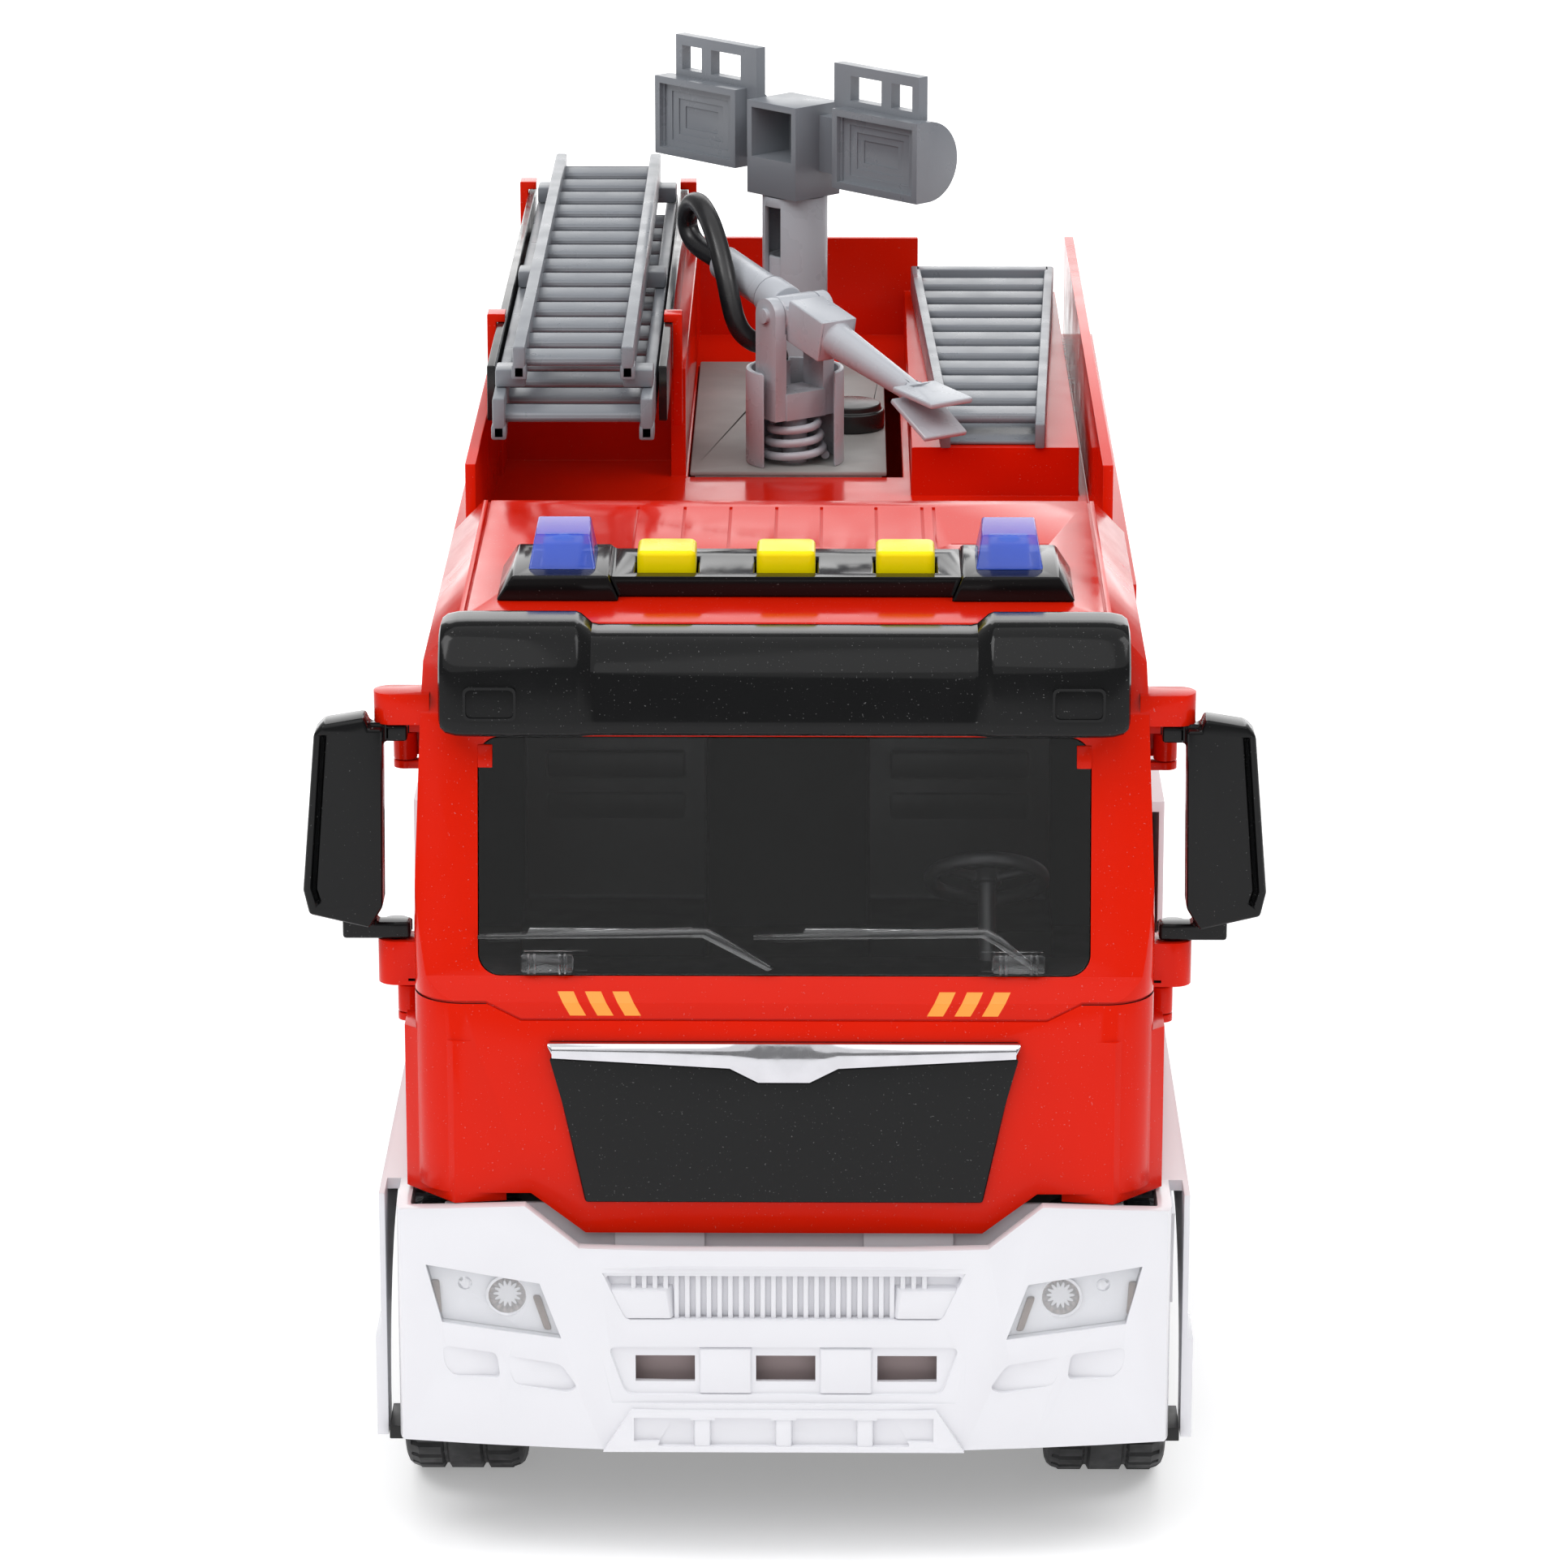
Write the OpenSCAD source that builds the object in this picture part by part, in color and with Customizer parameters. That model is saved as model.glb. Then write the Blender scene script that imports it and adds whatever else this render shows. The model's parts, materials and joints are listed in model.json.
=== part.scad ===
// Toy fire engine with opening doors, folding mirrors, press buttons, friction drive,
// a hand-pumped water monitor, a sliding ladder and a telescopic lamp mast.
// +Z up, front of the vehicle towards -Y, origin on the ground under the middle of the vehicle.

/* [Vehicle] */
// Length from the bumper to the rear wall
body_l = 346; // [340:1:420]
// Width across the red side walls of the bed
bed_w = 123; // [121:1:150]
// Width across the white skirts
skirt_w = 146; // [144:1:176]
// Height of the bed deck above the ground
deck_z = 150; // [148:1:156]
// Height of the bed side walls above the deck
bed_wall_h = 22; // [16:1:30]
// Thickness of the moulded shells
wall = 2; // [1.6:0.1:2.4]

/* [Cab] */
// Width of the cab
cab_w = 130; // [128:1:140]
// Length of the cab
cab_l = 111; // [108:1:114]
// Height of the cab roof above the ground
roof_z = 167; // [164:1:172]
// Width of the windscreen
screen_w = 107.2; // [90:0.2:110]
// Height of the windscreen's lower edge above the ground
screen_z = 108; // [106:1:112]
// Height of the windscreen along its slope
screen_h = 42; // [36:1:43]
// Length of each door
door_l = 60; // [50:1:66]
// Height of each door
door_h = 84; // [76:1:88]

/* [Wheels] */
// Diameter of the tyres
tyre_d = 50; // [46:1:54]
// Width of the tyres
tyre_w = 22; // [18:1:24]
// Diameter of the wheel rims
rim_d = 31; // [26:1:36]
// Diameter of the steel axles
axle_d = 4; // [3:0.5:5]
// Distance over the outer faces of a pair of tyres
track_w = 139.2; // [137:0.2:144]
// Distance from the bumper to the front axle
front_axle_at = 52; // [50:1:56]
// Distance between the axles
wheelbase = 216; // [205:1:225]

/* [Light bar] */
// Width of the light bar
bar_w = 103; // [98:1:112]
// Side of each square push button
button_side = 10.5; // [8:0.5:12]
// Distance between neighbouring buttons
button_pitch = 21.3; // [18:0.1:23]
// Height of the buttons above the light bar
button_rise = 2.8; // [2:0.1:4]
// Travel of each button
button_travel = 1.2; // [0.6:0.1:1.3]

/* [Water monitor] */
// Outer diameter of the guide tower
tower_d = 20; // [20:0.5:22]
// Outer diameter of the hose
hose_d = 4.2; // [3:0.1:4.4]
// Length of the nozzle ahead of its pivot
nozzle_l = 53; // [48:1:56]
// Travel of the pump
pump_travel = 4; // [2:0.5:5]
// Diameter of the pump plunger
plunger_d = 5; // [4:0.5:6]

/* [Ladders] */
// Width of the upper ladder
upper_ladder_w = 23.2; // [20:0.1:24]
// Width of the lower ladder
lower_ladder_w = 30.7; // [29:0.1:32]
// Width over the rails of the cradle
cradle_w = 35; // [34.2:0.1:36]
// Distance between the ladder rungs
rung_pitch = 14.2; // [10:0.1:20]

/* [Lamp mast] */
// Outer diameter of the mast tube
mast_d = 11.8; // [10:0.1:13]
// Length of the lamp head
head_l = 81; // [70:1:90]
// Height of each lamp bank
bank_h = 17; // [14:0.5:18]
// How far the mast lifts
mast_travel = 18; // [5:1:20]

/* [Fits] */
// Radial clearance of turning pins and shafts
pin_gap = 0.08; // [0.05:0.01:0.1]
// Gap between pieces that move past each other
slide_gap = 0.3; // [0.2:0.05:0.5]

/* [Hidden] */
$fn = 48;

red = "firebrick";
white = "white";
grey = "lightslategray";
black = [0.08, 0.08, 0.08];
steel = "silver";
clear = [0.8, 0.9, 1, 0.4];
cut = 1;              // how far a cutting shape runs past what it cuts

// Places along the vehicle
front_y = -body_l/2;
rear_y = body_l/2;
bumper_depth = 22;
cab_front_y = front_y + 7;
cab_back_y = cab_front_y + cab_l;
bed_y = cab_back_y + 3;
bed_wall_y = bed_y + 5;
front_axle_y = front_y + front_axle_at;
rear_axle_y = front_axle_y + wheelbase;
axle_z = tyre_d/2;

// Heights
base_z = 20;
base_t = 2.5;
base_top_z = base_z + base_t;
fender_z = 66;
skirt_z = 107;
cab_bottom_z = fender_z;
wall_top_z = deck_z + bed_wall_h;

// ---------------------------------------------------------------- helpers

// A block between two corners
module block(low, high) {
    translate(low) cube(high - low);
}

// A rectangle about the origin with round corners
module round_rect(w, h, r) {
    square([w - 2*r, h], center = true);
    square([w, h - 2*r], center = true);
    for (x = [-1, 1], y = [-1, 1])
        translate([x*(w/2 - r), y*(h/2 - r)]) circle(r);
}

// Stands a flat (x, z) outline up and gives it depth from y0 to y1
module upright(y0, y1) {
    translate([0, y1, 0]) rotate([90, 0, 0]) linear_extrude(y1 - y0) children();
}

// Turns a flat (y, z) outline into a block from x0 to x1
module sideways(x0, x1) {
    translate([x0, 0, 0]) rotate([90, 0, 90]) linear_extrude(x1 - x0) children();
}

// A bar of round section along X
module cross_bar(x0, x1, r) {
    translate([x0, 0, 0]) rotate([0, 90, 0]) cylinder(r = r, h = x1 - x0);
}

// Draws its children on the right side (side = 1) or mirrored on the left (side = -1)
module on_side(side) {
    mirror([side < 0 ? 1 : 0, 0, 0]) children();
}

// ---------------------------------------------------------------- wheels and axles

wheel_in = track_w/2 - tyre_w;
hub_w = tyre_w - 2;
hub_boss_r = 6;

module at_axle(y) {
    translate([0, y, axle_z]) children();
}

module axle() {
    color(steel) cross_bar(-track_w/2 + 1, track_w/2 - 1, axle_d/2);
}

// Rim, disc and boss, with the outer face recessed
module hub() {
    recess = 5;
    disc_t = 4;
    color(steel) translate([wheel_in + 1, 0, 0]) rotate([0, 90, 0]) difference() {
        cylinder(r = rim_d/2, h = hub_w);
        translate([0, 0, hub_w - recess]) cylinder(r = rim_d/2 - 1.5, h = recess + cut);
        translate([0, 0, -cut]) difference() {
            cylinder(r = rim_d/2 - 1.5, h = hub_w - recess - disc_t + cut);
            cylinder(r = hub_boss_r, h = hub_w);
        }
        translate([0, 0, -cut]) cylinder(r = axle_d/2, h = hub_w + 2*cut);
    }
}

module tyre() {
    shoulder = 2.5;
    color(black) translate([wheel_in, 0, 0]) rotate([0, 90, 0]) rotate_extrude() polygon([
        [rim_d/2, 1], [rim_d/2 + 1, 0], [tyre_d/2 - shoulder, 0], [tyre_d/2, shoulder],
        [tyre_d/2, tyre_w - shoulder], [tyre_d/2 - shoulder, tyre_w],
        [rim_d/2 + 1, tyre_w], [rim_d/2, tyre_w - 1]
    ]);
}

// ---------------------------------------------------------------- friction drive

gear_m = 0.8;
wheel_teeth = 20;
pinion_teeth = 8;
gear_w = 4;
mesh = gear_m*(wheel_teeth + pinion_teeth)/2 + 0.15;
mesh_step = mesh/sqrt(2);
idler_y = rear_axle_y + mesh_step;
idler_z = axle_z + mesh_step;
flywheel_y = idler_y + mesh_step;
flywheel_z = idler_z + mesh_step;
shaft_d = 2.4;
gear_x = -14;
box_x0 = gear_x - 3;
box_x1 = gear_x + 22;
box_wall = 1.6;
box_z0 = axle_z - 10.5;
box_y0 = rear_axle_y - 11;
box_y1 = rear_axle_y + 32;
box_top = flywheel_z + 4;

// Straight-toothed wheel along +X; tooth 0 points at angle "phase" from +Y towards +Z
module toothed(teeth, w, phase) {
    pitch_r = gear_m*teeth/2;
    root_r = pitch_r - 1.2*gear_m;
    tip_r = pitch_r + 0.85*gear_m;
    step = 360/teeth;
    points = [for (i = [0 : teeth - 1], k = [[-0.24, root_r], [-0.1, tip_r], [0.1, tip_r], [0.24, root_r]])
        k[1]*[cos(phase + (i + k[0])*step), sin(phase + (i + k[0])*step)]];
    rotate([90, 0, 90]) linear_extrude(w) polygon(points);
}

module drive_gear() {
    color("ivory") translate([gear_x, rear_axle_y, axle_z]) difference() {
        toothed(wheel_teeth, gear_w, 45);
        rotate([0, 90, 0]) translate([0, 0, -cut]) cylinder(r = axle_d/2, h = gear_w + 2*cut);
    }
}

// Compound gear: its pinion meshes with the drive gear, its wheel with the flywheel's pinion
module idler_gear() {
    half_tooth = 180/pinion_teeth;
    color("ivory") translate([gear_x, idler_y, idler_z]) {
        toothed(pinion_teeth, gear_w + 1, 45 + 180 + half_tooth);
        translate([gear_w + 1, 0, 0]) toothed(wheel_teeth, gear_w, 45);
        translate([-1, 0, 0]) cross_bar(0, 2*gear_w + 3, 2);
        translate([-4.2, 0, 0]) cross_bar(0, 26.4, shaft_d/2);
    }
}

module flywheel() {
    half_tooth = 180/pinion_teeth;
    disc_x = 2*gear_w + 3;
    color(steel) translate([gear_x, flywheel_y, flywheel_z]) {
        translate([gear_w + 1, 0, 0]) toothed(pinion_teeth, gear_w + 1, 45 + 180 + half_tooth);
        translate([disc_x - 1, 0, 0]) cross_bar(0, 10, 2.2);
        translate([disc_x, 0, 0]) cross_bar(0, 8, 9.5);
        translate([-4.2, 0, 0]) cross_bar(0, 26.4, shaft_d/2);
    }
}

// Open-topped housing under the gears; its floor bulges below the chassis base
module gearbox_frame() {
    color(black) difference() {
        union() {
            block([box_x0, box_y0, box_z0], [box_x1, box_y1, base_top_z + 8]);
            for (x = [box_x0, box_x1 - box_wall])
                block([x, rear_axle_y - 5, box_z0], [x + box_wall, flywheel_y + 5, box_top]);
            block([box_x0 - 5, box_y0 - 4, base_top_z], [box_x1 + 5, box_y1 + 4, base_top_z + box_wall]);
        }
        block([box_x0 + box_wall, box_y0 + box_wall, box_z0 + box_wall],
            [box_x1 - box_wall, box_y1 - box_wall, box_top + cut]);
        translate([0, rear_axle_y, axle_z]) cross_bar(-50, 50, axle_d/2 + pin_gap);
        translate([0, idler_y, idler_z]) cross_bar(-50, 50, shaft_d/2 + pin_gap);
        translate([0, flywheel_y, flywheel_z]) cross_bar(-50, 50, shaft_d/2 + pin_gap);
    }
}

// ---------------------------------------------------------------- chassis

base_w = skirt_w - 2*wall - 2*slide_gap;
base_y0 = front_y + bumper_depth - 10;
base_y1 = rear_y - wall - slide_gap;
well_l = tyre_d + 8;
battery_w = 50;
battery_l = 52;
battery_y = front_axle_y + wheelbase/2 + 22;
battery_h = 18;
speaker_r = 14;
speaker_y = front_axle_y + wheelbase/2 - 42;
bearing_x = 20;
bearing_w = 6;
screw_x = skirt_w/2 - 9;
screw_ys = [front_axle_y + 42, speaker_y + 6, battery_y, rear_axle_y + 42];
screw_d = 2.6;

module chassis_base() {
    color(black) difference() {
        union() {
            block([-base_w/2, base_y0, base_z], [base_w/2, base_y1, base_top_z]);
            // axle bearings
            for (y = [front_axle_y, rear_axle_y], side = [-1, 1]) on_side(side)
                block([wheel_in - bearing_w - 3, y - 5, base_z],
                    [wheel_in - 3, y + 5, axle_z + axle_d/2 + 3]);
            // battery compartment
            translate([0, battery_y, base_z]) difference() {
                translate([-battery_w/2 - wall, -battery_l/2 - wall, 0])
                    cube([battery_w + 2*wall, battery_l + 2*wall, battery_h]);
                translate([-battery_w/2, -battery_l/2, -cut])
                    cube([battery_w, battery_l, battery_h - wall + cut]);
            }
            // speaker ring
            translate([0, speaker_y, base_z]) difference() {
                cylinder(r = speaker_r + wall, h = 7);
                translate([0, 0, base_t]) cylinder(r = speaker_r + 0.05, h = 7);
            }
        }
        // wheel wells, open at the sides
        for (y = [front_axle_y, rear_axle_y], side = [-1, 1]) on_side(side)
            block([wheel_in - 3, y - well_l/2, base_z - cut],
                [skirt_w/2 + cut, y + well_l/2, base_top_z + cut]);
        for (y = [front_axle_y, rear_axle_y])
            at_axle(y) cross_bar(-skirt_w, skirt_w, axle_d/2 + pin_gap);
        // battery door opening
        translate([-battery_w/2, battery_y - battery_l/2, base_z - cut])
            cube([battery_w, battery_l, base_t + 2*cut]);
        // opening that the gearbox bulges through
        block([box_x0 - 0.2, box_y0 - 0.2, base_z - cut], [box_x1 + 0.2, box_y1 + 0.2, base_top_z + cut]);
        // sound holes under the speaker
        for (x = [-8 : 4 : 8])
            translate([x - 0.8, speaker_y - 8, base_z - cut]) cube([1.6, 16, base_t + 2*cut]);
        for (y = screw_ys, side = [-1, 1])
            translate([side*screw_x, y, base_z - cut]) cylinder(d = screw_d, h = base_t + 2*cut);
    }
}

module battery_door() {
    gap = 0.2;
    color(black) {
        translate([-battery_w/2 + gap, battery_y - battery_l/2 + gap, base_z])
            cube([battery_w - 2*gap, battery_l - 2*gap, 1.8]);
        // stiffening ribs on the inner face
        for (x = [-15, 0, 15])
            translate([x - 0.8, battery_y - battery_l/2 + 6, base_z + 1.8])
                cube([1.6, battery_l - 12, 1.2]);
    }
}

module speaker() {
    color("dimgray") translate([0, speaker_y, base_top_z]) {
        difference() {
            cylinder(r = speaker_r, h = 3);
            translate([0, 0, -cut]) cylinder(r = speaker_r - 2, h = 2 + cut);
        }
        translate([0, 0, 3]) cylinder(r = 7, h = 4);
    }
}

module chassis_screws() {
    color(steel) for (y = screw_ys, side = [-1, 1]) translate([side*screw_x, y, 0]) {
        translate([0, 0, base_z - 1.6]) cylinder(r = 2.6, h = 1.6);
        translate([0, 0, base_z - 0.1]) cylinder(d = screw_d, h = 10);
    }
}

arch_r = tyre_d/2 + 4.5;

// White moulding: fenders beside the cab, skirts beside and behind the bed
module lower_shell() {
    y0 = front_y + bumper_depth - 8;
    color(white) difference() {
        union() {
            // outer walls; the skirts are stepped in above the seam
            for (part = [[y0, bed_y, fender_z], [bed_y, rear_y, skirt_z]]) difference() {
                union() {
                    block([-skirt_w/2, part[0], base_z], [skirt_w/2, part[1], base_z + 19]);
                    block([-skirt_w/2 + 1, part[0], base_z], [skirt_w/2 - 1, part[1], part[2]]);
                }
                block([-skirt_w/2 + wall, y0 - cut, base_z - cut],
                    [skirt_w/2 - wall, rear_y - wall, skirt_z - wall]);
                // front panel of the high part stays above the chassis
                if (part[0] > y0) block([-skirt_w/2 + wall, part[0] - cut, base_z - cut],
                    [skirt_w/2 - wall, rear_y - wall, fender_z]);
            }
            // flanges that carry the cab
            for (side = [-1, 1]) on_side(side)
                block([cab_w/2 - 6, y0 + 8, fender_z - wall], [skirt_w/2 - 1.5, bed_y + 1, fender_z]);
            // bosses for the screws, webbed to the skirts
            for (y = screw_ys, side = [-1, 1]) on_side(side) {
                translate([screw_x, y, base_top_z]) cylinder(r = 3.2, h = 14);
                block([screw_x, y - 1, base_top_z], [skirt_w/2 - wall + 0.5, y + 1, base_top_z + 14]);
            }
        }
        for (y = screw_ys, side = [-1, 1])
            translate([side*screw_x, y, base_top_z - cut]) cylinder(d = screw_d, h = 12);
        // room under the bed
        block([-bed_w/2 + 8, bed_y + wall, skirt_z - wall - cut], [bed_w/2 - 8, rear_y - 10, skirt_z + cut]);
        for (y = [front_axle_y, rear_axle_y]) at_axle(y) cross_bar(-skirt_w, skirt_w, arch_r);
        // clear the gearbox
        block([-30, bed_y - 20, base_z - cut], [30, bed_y + 3, fender_z - 10]);
    }
}

// ---------------------------------------------------------------- bumper and headlights

bumper_w = 137;
bumper_z0 = 22.5;
bumper_bow_r = 400;
bumper_top = [[-bumper_w/2, 66], [-45.5, 67.8], [-36, 60.3], [36, 60.3], [45.5, 67.8], [bumper_w/2, 66]];

// Plan of the bumper: a slightly bowed front with round corners, set in by "inset"
module bumper_plan(inset) {
    corner = 9;
    intersection() {
        translate([0, front_y + bumper_bow_r]) circle(bumper_bow_r - inset, $fn = 200);
        translate([0, front_y + 2*corner + 3])
            round_rect(bumper_w - 2*inset, 4*corner + 5 - 2*inset, corner - inset);
        translate([-bumper_w, front_y - cut]) square([2*bumper_w, bumper_depth + cut]);
    }
}

module bumper_skin(outer, inner, z0, z1) {
    translate([0, 0, z0]) linear_extrude(z1 - z0) difference() {
        bumper_plan(outer);
        bumper_plan(inner);
        // open at the back
        translate([-bumper_w/2 + inner, front_y + bumper_depth - 2])
            square([bumper_w - 2*inner, 4]);
    }
}

// Outline of the headlight on the right, in x and z
module headlight_outline(grow) {
    centre = [52, 49.5];
    points = [[63.3, 55.9], [43.1, 53.4], [39.3, 43.2], [60.5, 45.2]];
    polygon([for (p = points) p + grow*(p - centre)/norm(p - centre)]);
}

module front_bumper() {
    hole = [10.5, 4.9];
    color(white) difference() {
        union() {
            bumper_skin(0, 2.5, bumper_z0, 68);
            // floor that meets the chassis base
            translate([0, 0, bumper_z0 + 0.01]) linear_extrude(2) difference() {
                bumper_plan(0.5);
                translate([-bumper_w/2, front_y + bumper_depth - 2]) square([bumper_w, 4]);
            }
            // step plate standing out at the bottom
            upright(front_y, front_y + 3) polygon([[-32, bumper_z0], [32, bumper_z0], [27, 30.4], [-27, 30.4]]);
        }
        // shaped top edge
        upright(front_y - cut, front_y + bumper_depth + cut) polygon(concat(bumper_top,
            [[bumper_w/2 + cut, 66], [bumper_w/2 + cut, 80], [-bumper_w/2 - cut, 80], [-bumper_w/2 - cut, 66]]));
        // three openings under the upper grille
        for (x = [-20.95, 0.35, 21.8])
            block([x - hole[0]/2, front_y - cut, 35.2], [x + hole[0]/2, front_y + 6, 35.2 + hole[1]]);
        // upper grille recess
        upright(front_y - cut, front_y + 1.6) polygon([[-27, 47], [27, 47], [32, 55.8], [-32, 55.8]]);
        // windows of the step plate
        for (x = [-21.5, -7.2, 7.2, 21.5])
            block([x - 5, front_y - cut, 24.5], [x + 5, front_y + 1, 29]);
        for (side = [-1, 1]) on_side(side)
            upright(front_y - cut, front_y + 14) headlight_outline(0);
        // clear of the wheels
        at_axle(front_axle_y) cross_bar(-bumper_w, bumper_w, arch_r);
    }
}

module headlight_lens() {
    color(clear) intersection() {
        bumper_skin(0.3, 1.6, 40, 60);
        upright(front_y - cut, front_y + 14) headlight_outline(-0.15);
    }
}

module headlight_reflector() {
    dish = [48.9, 50.3];
    color(steel) difference() {
        intersection() {
            bumper_skin(1.8, 4.6, 36, 62);
            union() {
                upright(front_y - cut, front_y + 16) headlight_outline(-0.15);
                // flange behind the bumper skin
                intersection() {
                    upright(front_y - cut, front_y + 16) headlight_outline(2);
                    bumper_skin(2.55, 5, 36, 62);
                }
            }
        }
        translate([dish[0], front_y, dish[1]]) rotate([-90, 0, 0]) cylinder(r = 3.4, h = 5.6);
    }
}

// ---------------------------------------------------------------- cab

cab_corner = 9;
belt_z = 114;
cab_lean = 1.7;       // how far the sides lean in between belt and roof
screen_lean = 12;     // slope of the windscreen, in degrees
screen_foot_y = cab_front_y + 3;

function cab_side(inset) = [
    [cab_front_y + inset, 50], [cab_front_y + inset, screen_z - 4],
    [screen_foot_y + inset, screen_z], [screen_foot_y + 9.5 + inset, screen_z + 45],
    [cab_front_y + 22 + inset, roof_z - inset], [cab_back_y - inset, roof_z - inset],
    [cab_back_y - inset, 50]
];

function cab_front_half(inset) = [
    [35, 61.3], [44.6, 68.7], [cab_w/2 - inset, 68.7], [cab_w/2 - inset, belt_z],
    [cab_w/2 - cab_lean - inset, roof_z - 6], [cab_w/2 - 7.5 - inset, roof_z - inset]
];

module cab_block(inset) {
    half = cab_front_half(inset);
    intersection() {
        sideways(-cab_w, cab_w) polygon(cab_side(inset));
        union() {
            upright(front_y, cab_back_y + cut) polygon(concat(half,
                [for (i = [len(half) - 1 : -1 : 0]) [-half[i][0], half[i][1]]]));
            // the sides reach down to the fenders behind the front panel
            block([-cab_w/2 + inset, cab_front_y + 10, cab_bottom_z],
                [cab_w/2 - inset, cab_back_y + cut, belt_z]);
        }
        translate([0, 0, 40]) linear_extrude(200) union() {
            translate([0, (cab_front_y + cab_back_y)/2])
                round_rect(cab_w - 2*inset, cab_l - 2*inset, cab_corner - inset);
            translate([-cab_w/2 + inset, cab_front_y + cab_corner])
                square([cab_w - 2*inset, cab_l - cab_corner - inset]);
        }
    }
}

door_front_y = front_axle_y - 17.5;
door_z0 = cab_bottom_z + 5;
door_gap = 0.4;
hinge_x = cab_w/2 + 2.2;
hinge_y = door_front_y - 1.2;
hinge_r = 2.1;
hinge_pin_r = 1;
hinge_zs = [94, 141];
hinge_h = 5;
window_l = door_l - 18;
window_z = 116;
window_h = 33;
mirror_x = cab_w/2 + 3.6;
mirror_y = front_y + 23;
mirror_top_z = 150.8;
mirror_low_z = 111;
mirror_pin_r = 1.5;

// Centre line of the windscreen's plane, leaning back from its foot
module on_screen() {
    translate([0, screen_foot_y, screen_z]) rotate([90 - screen_lean, 0, 0]) children();
}

module screen_outline(grow) {
    translate([0, screen_h/2]) round_rect(screen_w + 2*grow, screen_h + 2*grow, 4 + grow);
}

module deflector() {
    plan = [[49, 1], [58, -0.6], [67, 9], [67, 17], [cab_w/2 - 1, 17], [49, 6]];
    translate([0, cab_front_y, 67]) linear_extrude(30) polygon(plan);
}

// Boss that holds a mirror arm, reaching back to the cab side
module mirror_boss(z0, z1) {
    translate([mirror_x, mirror_y, z0]) cylinder(r = 3.3, h = z1 - z0);
    block([cab_w/2 - 3, mirror_y - 3.3, z0], [mirror_x, mirror_y + 3.3, z1]);
}

module hinge_bracket(z) {
    for (level = [z - 1.5, z + hinge_h + 0.2]) {
        translate([hinge_x, hinge_y, level]) cylinder(r = hinge_r, h = 1.3);
        block([cab_w/2 - 1.5, hinge_y - 2, level], [hinge_x, hinge_y + 0.6, level + 1.3]);
    }
    translate([hinge_x, hinge_y, z - 1.5]) cylinder(r = hinge_pin_r, h = hinge_h + 3);
}

module cab_shell() {
    bar_hole = [2*(bar_w/2 - 5), 15];
    color(red) {
        difference() {
            union() {
                cab_block(0);
                for (side = [-1, 1]) on_side(side) {
                    deflector();
                    mirror_boss(mirror_top_z, mirror_top_z + 5.5);
                    mirror_boss(mirror_low_z - 8, mirror_low_z);
                }
            }
            difference() {
                cab_block(wall);
                // floor rim that stands on the fender flanges
                for (side = [-1, 1]) on_side(side)
                    block([cab_w/2 - 6, cab_front_y + 12, cab_bottom_z - cut],
                        [cab_w/2, cab_back_y, cab_bottom_z + wall]);
            }
            // open underneath
            block([-cab_w/2 + 6, cab_front_y + wall, 40], [cab_w/2 - 6, cab_back_y - wall, cab_bottom_z + wall + cut]);
            on_screen() translate([0, 0, -8]) linear_extrude(20) screen_outline(0);
            for (side = [-1, 1]) on_side(side)
                block([cab_w/2 - 8, door_front_y, door_z0], [cab_w, door_front_y + door_l, door_z0 + door_h]);
            // pins of the mirrors turn in these bores
            for (side = [-1, 1]) {
                translate([side*mirror_x, mirror_y, mirror_top_z - cut])
                    cylinder(r = mirror_pin_r + pin_gap, h = 4 + cut);
                translate([side*mirror_x, mirror_y, mirror_low_z - 4])
                    cylinder(r = mirror_pin_r + pin_gap, h = 4 + cut);
            }
            // switch board passes through the roof
            translate([0, bar_y, roof_z - 10]) linear_extrude(20) square(bar_hole, center = true);
            // arches over the front wheels
            at_axle(front_axle_y) cross_bar(-cab_w, cab_w, arch_r);
        }
        for (side = [-1, 1], z = hinge_zs) on_side(side) hinge_bracket(z);
    }
}

module cab_window_cut() {
    sideways(cab_w/2 - 10, cab_w/2 + 5) translate([door_front_y + 9 + window_l/2, window_z + window_h/2])
        round_rect(window_l, window_h, 4);
}

// Panel that follows the cab's side, with hinge barrels at its front edge
module door() {
    color(red) difference() {
        union() {
            intersection() {
                difference() {
                    cab_block(0);
                    cab_block(wall);
                }
                block([cab_w/2 - 9, door_front_y + door_gap, door_z0 + door_gap],
                    [cab_w, door_front_y + door_l - door_gap, door_z0 + door_h - door_gap]);
            }
            for (z = hinge_zs) {
                translate([hinge_x, hinge_y, z]) cylinder(r = hinge_r, h = hinge_h);
                block([cab_w/2 + 0.3, hinge_y, z], [hinge_x, hinge_y + 3.6, z + hinge_h]);
                block([cab_w/2 - 2.5, door_front_y + door_gap, z], [hinge_x - 0.6, door_front_y + 4, z + hinge_h]);
            }
            // handle
            block([cab_w/2 - 1, door_front_y + door_l - 14, 104], [cab_w/2 + 1.4, door_front_y + door_l - 4, 107]);
        }
        cab_window_cut();
        for (z = hinge_zs)
            translate([hinge_x, hinge_y, z - cut]) cylinder(r = hinge_pin_r + pin_gap, h = hinge_h + 2*cut);
    }
}

// Clear pane against the inner face of the door
module door_window() {
    color(clear) intersection() {
        difference() {
            cab_block(wall);
            cab_block(wall + 1.2);
        }
        sideways(cab_w/2 - 10, cab_w/2 + 5) translate([door_front_y + 9 + window_l/2, window_z + window_h/2])
            round_rect(window_l + 4, window_h + 4, 5);
    }
}

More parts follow.
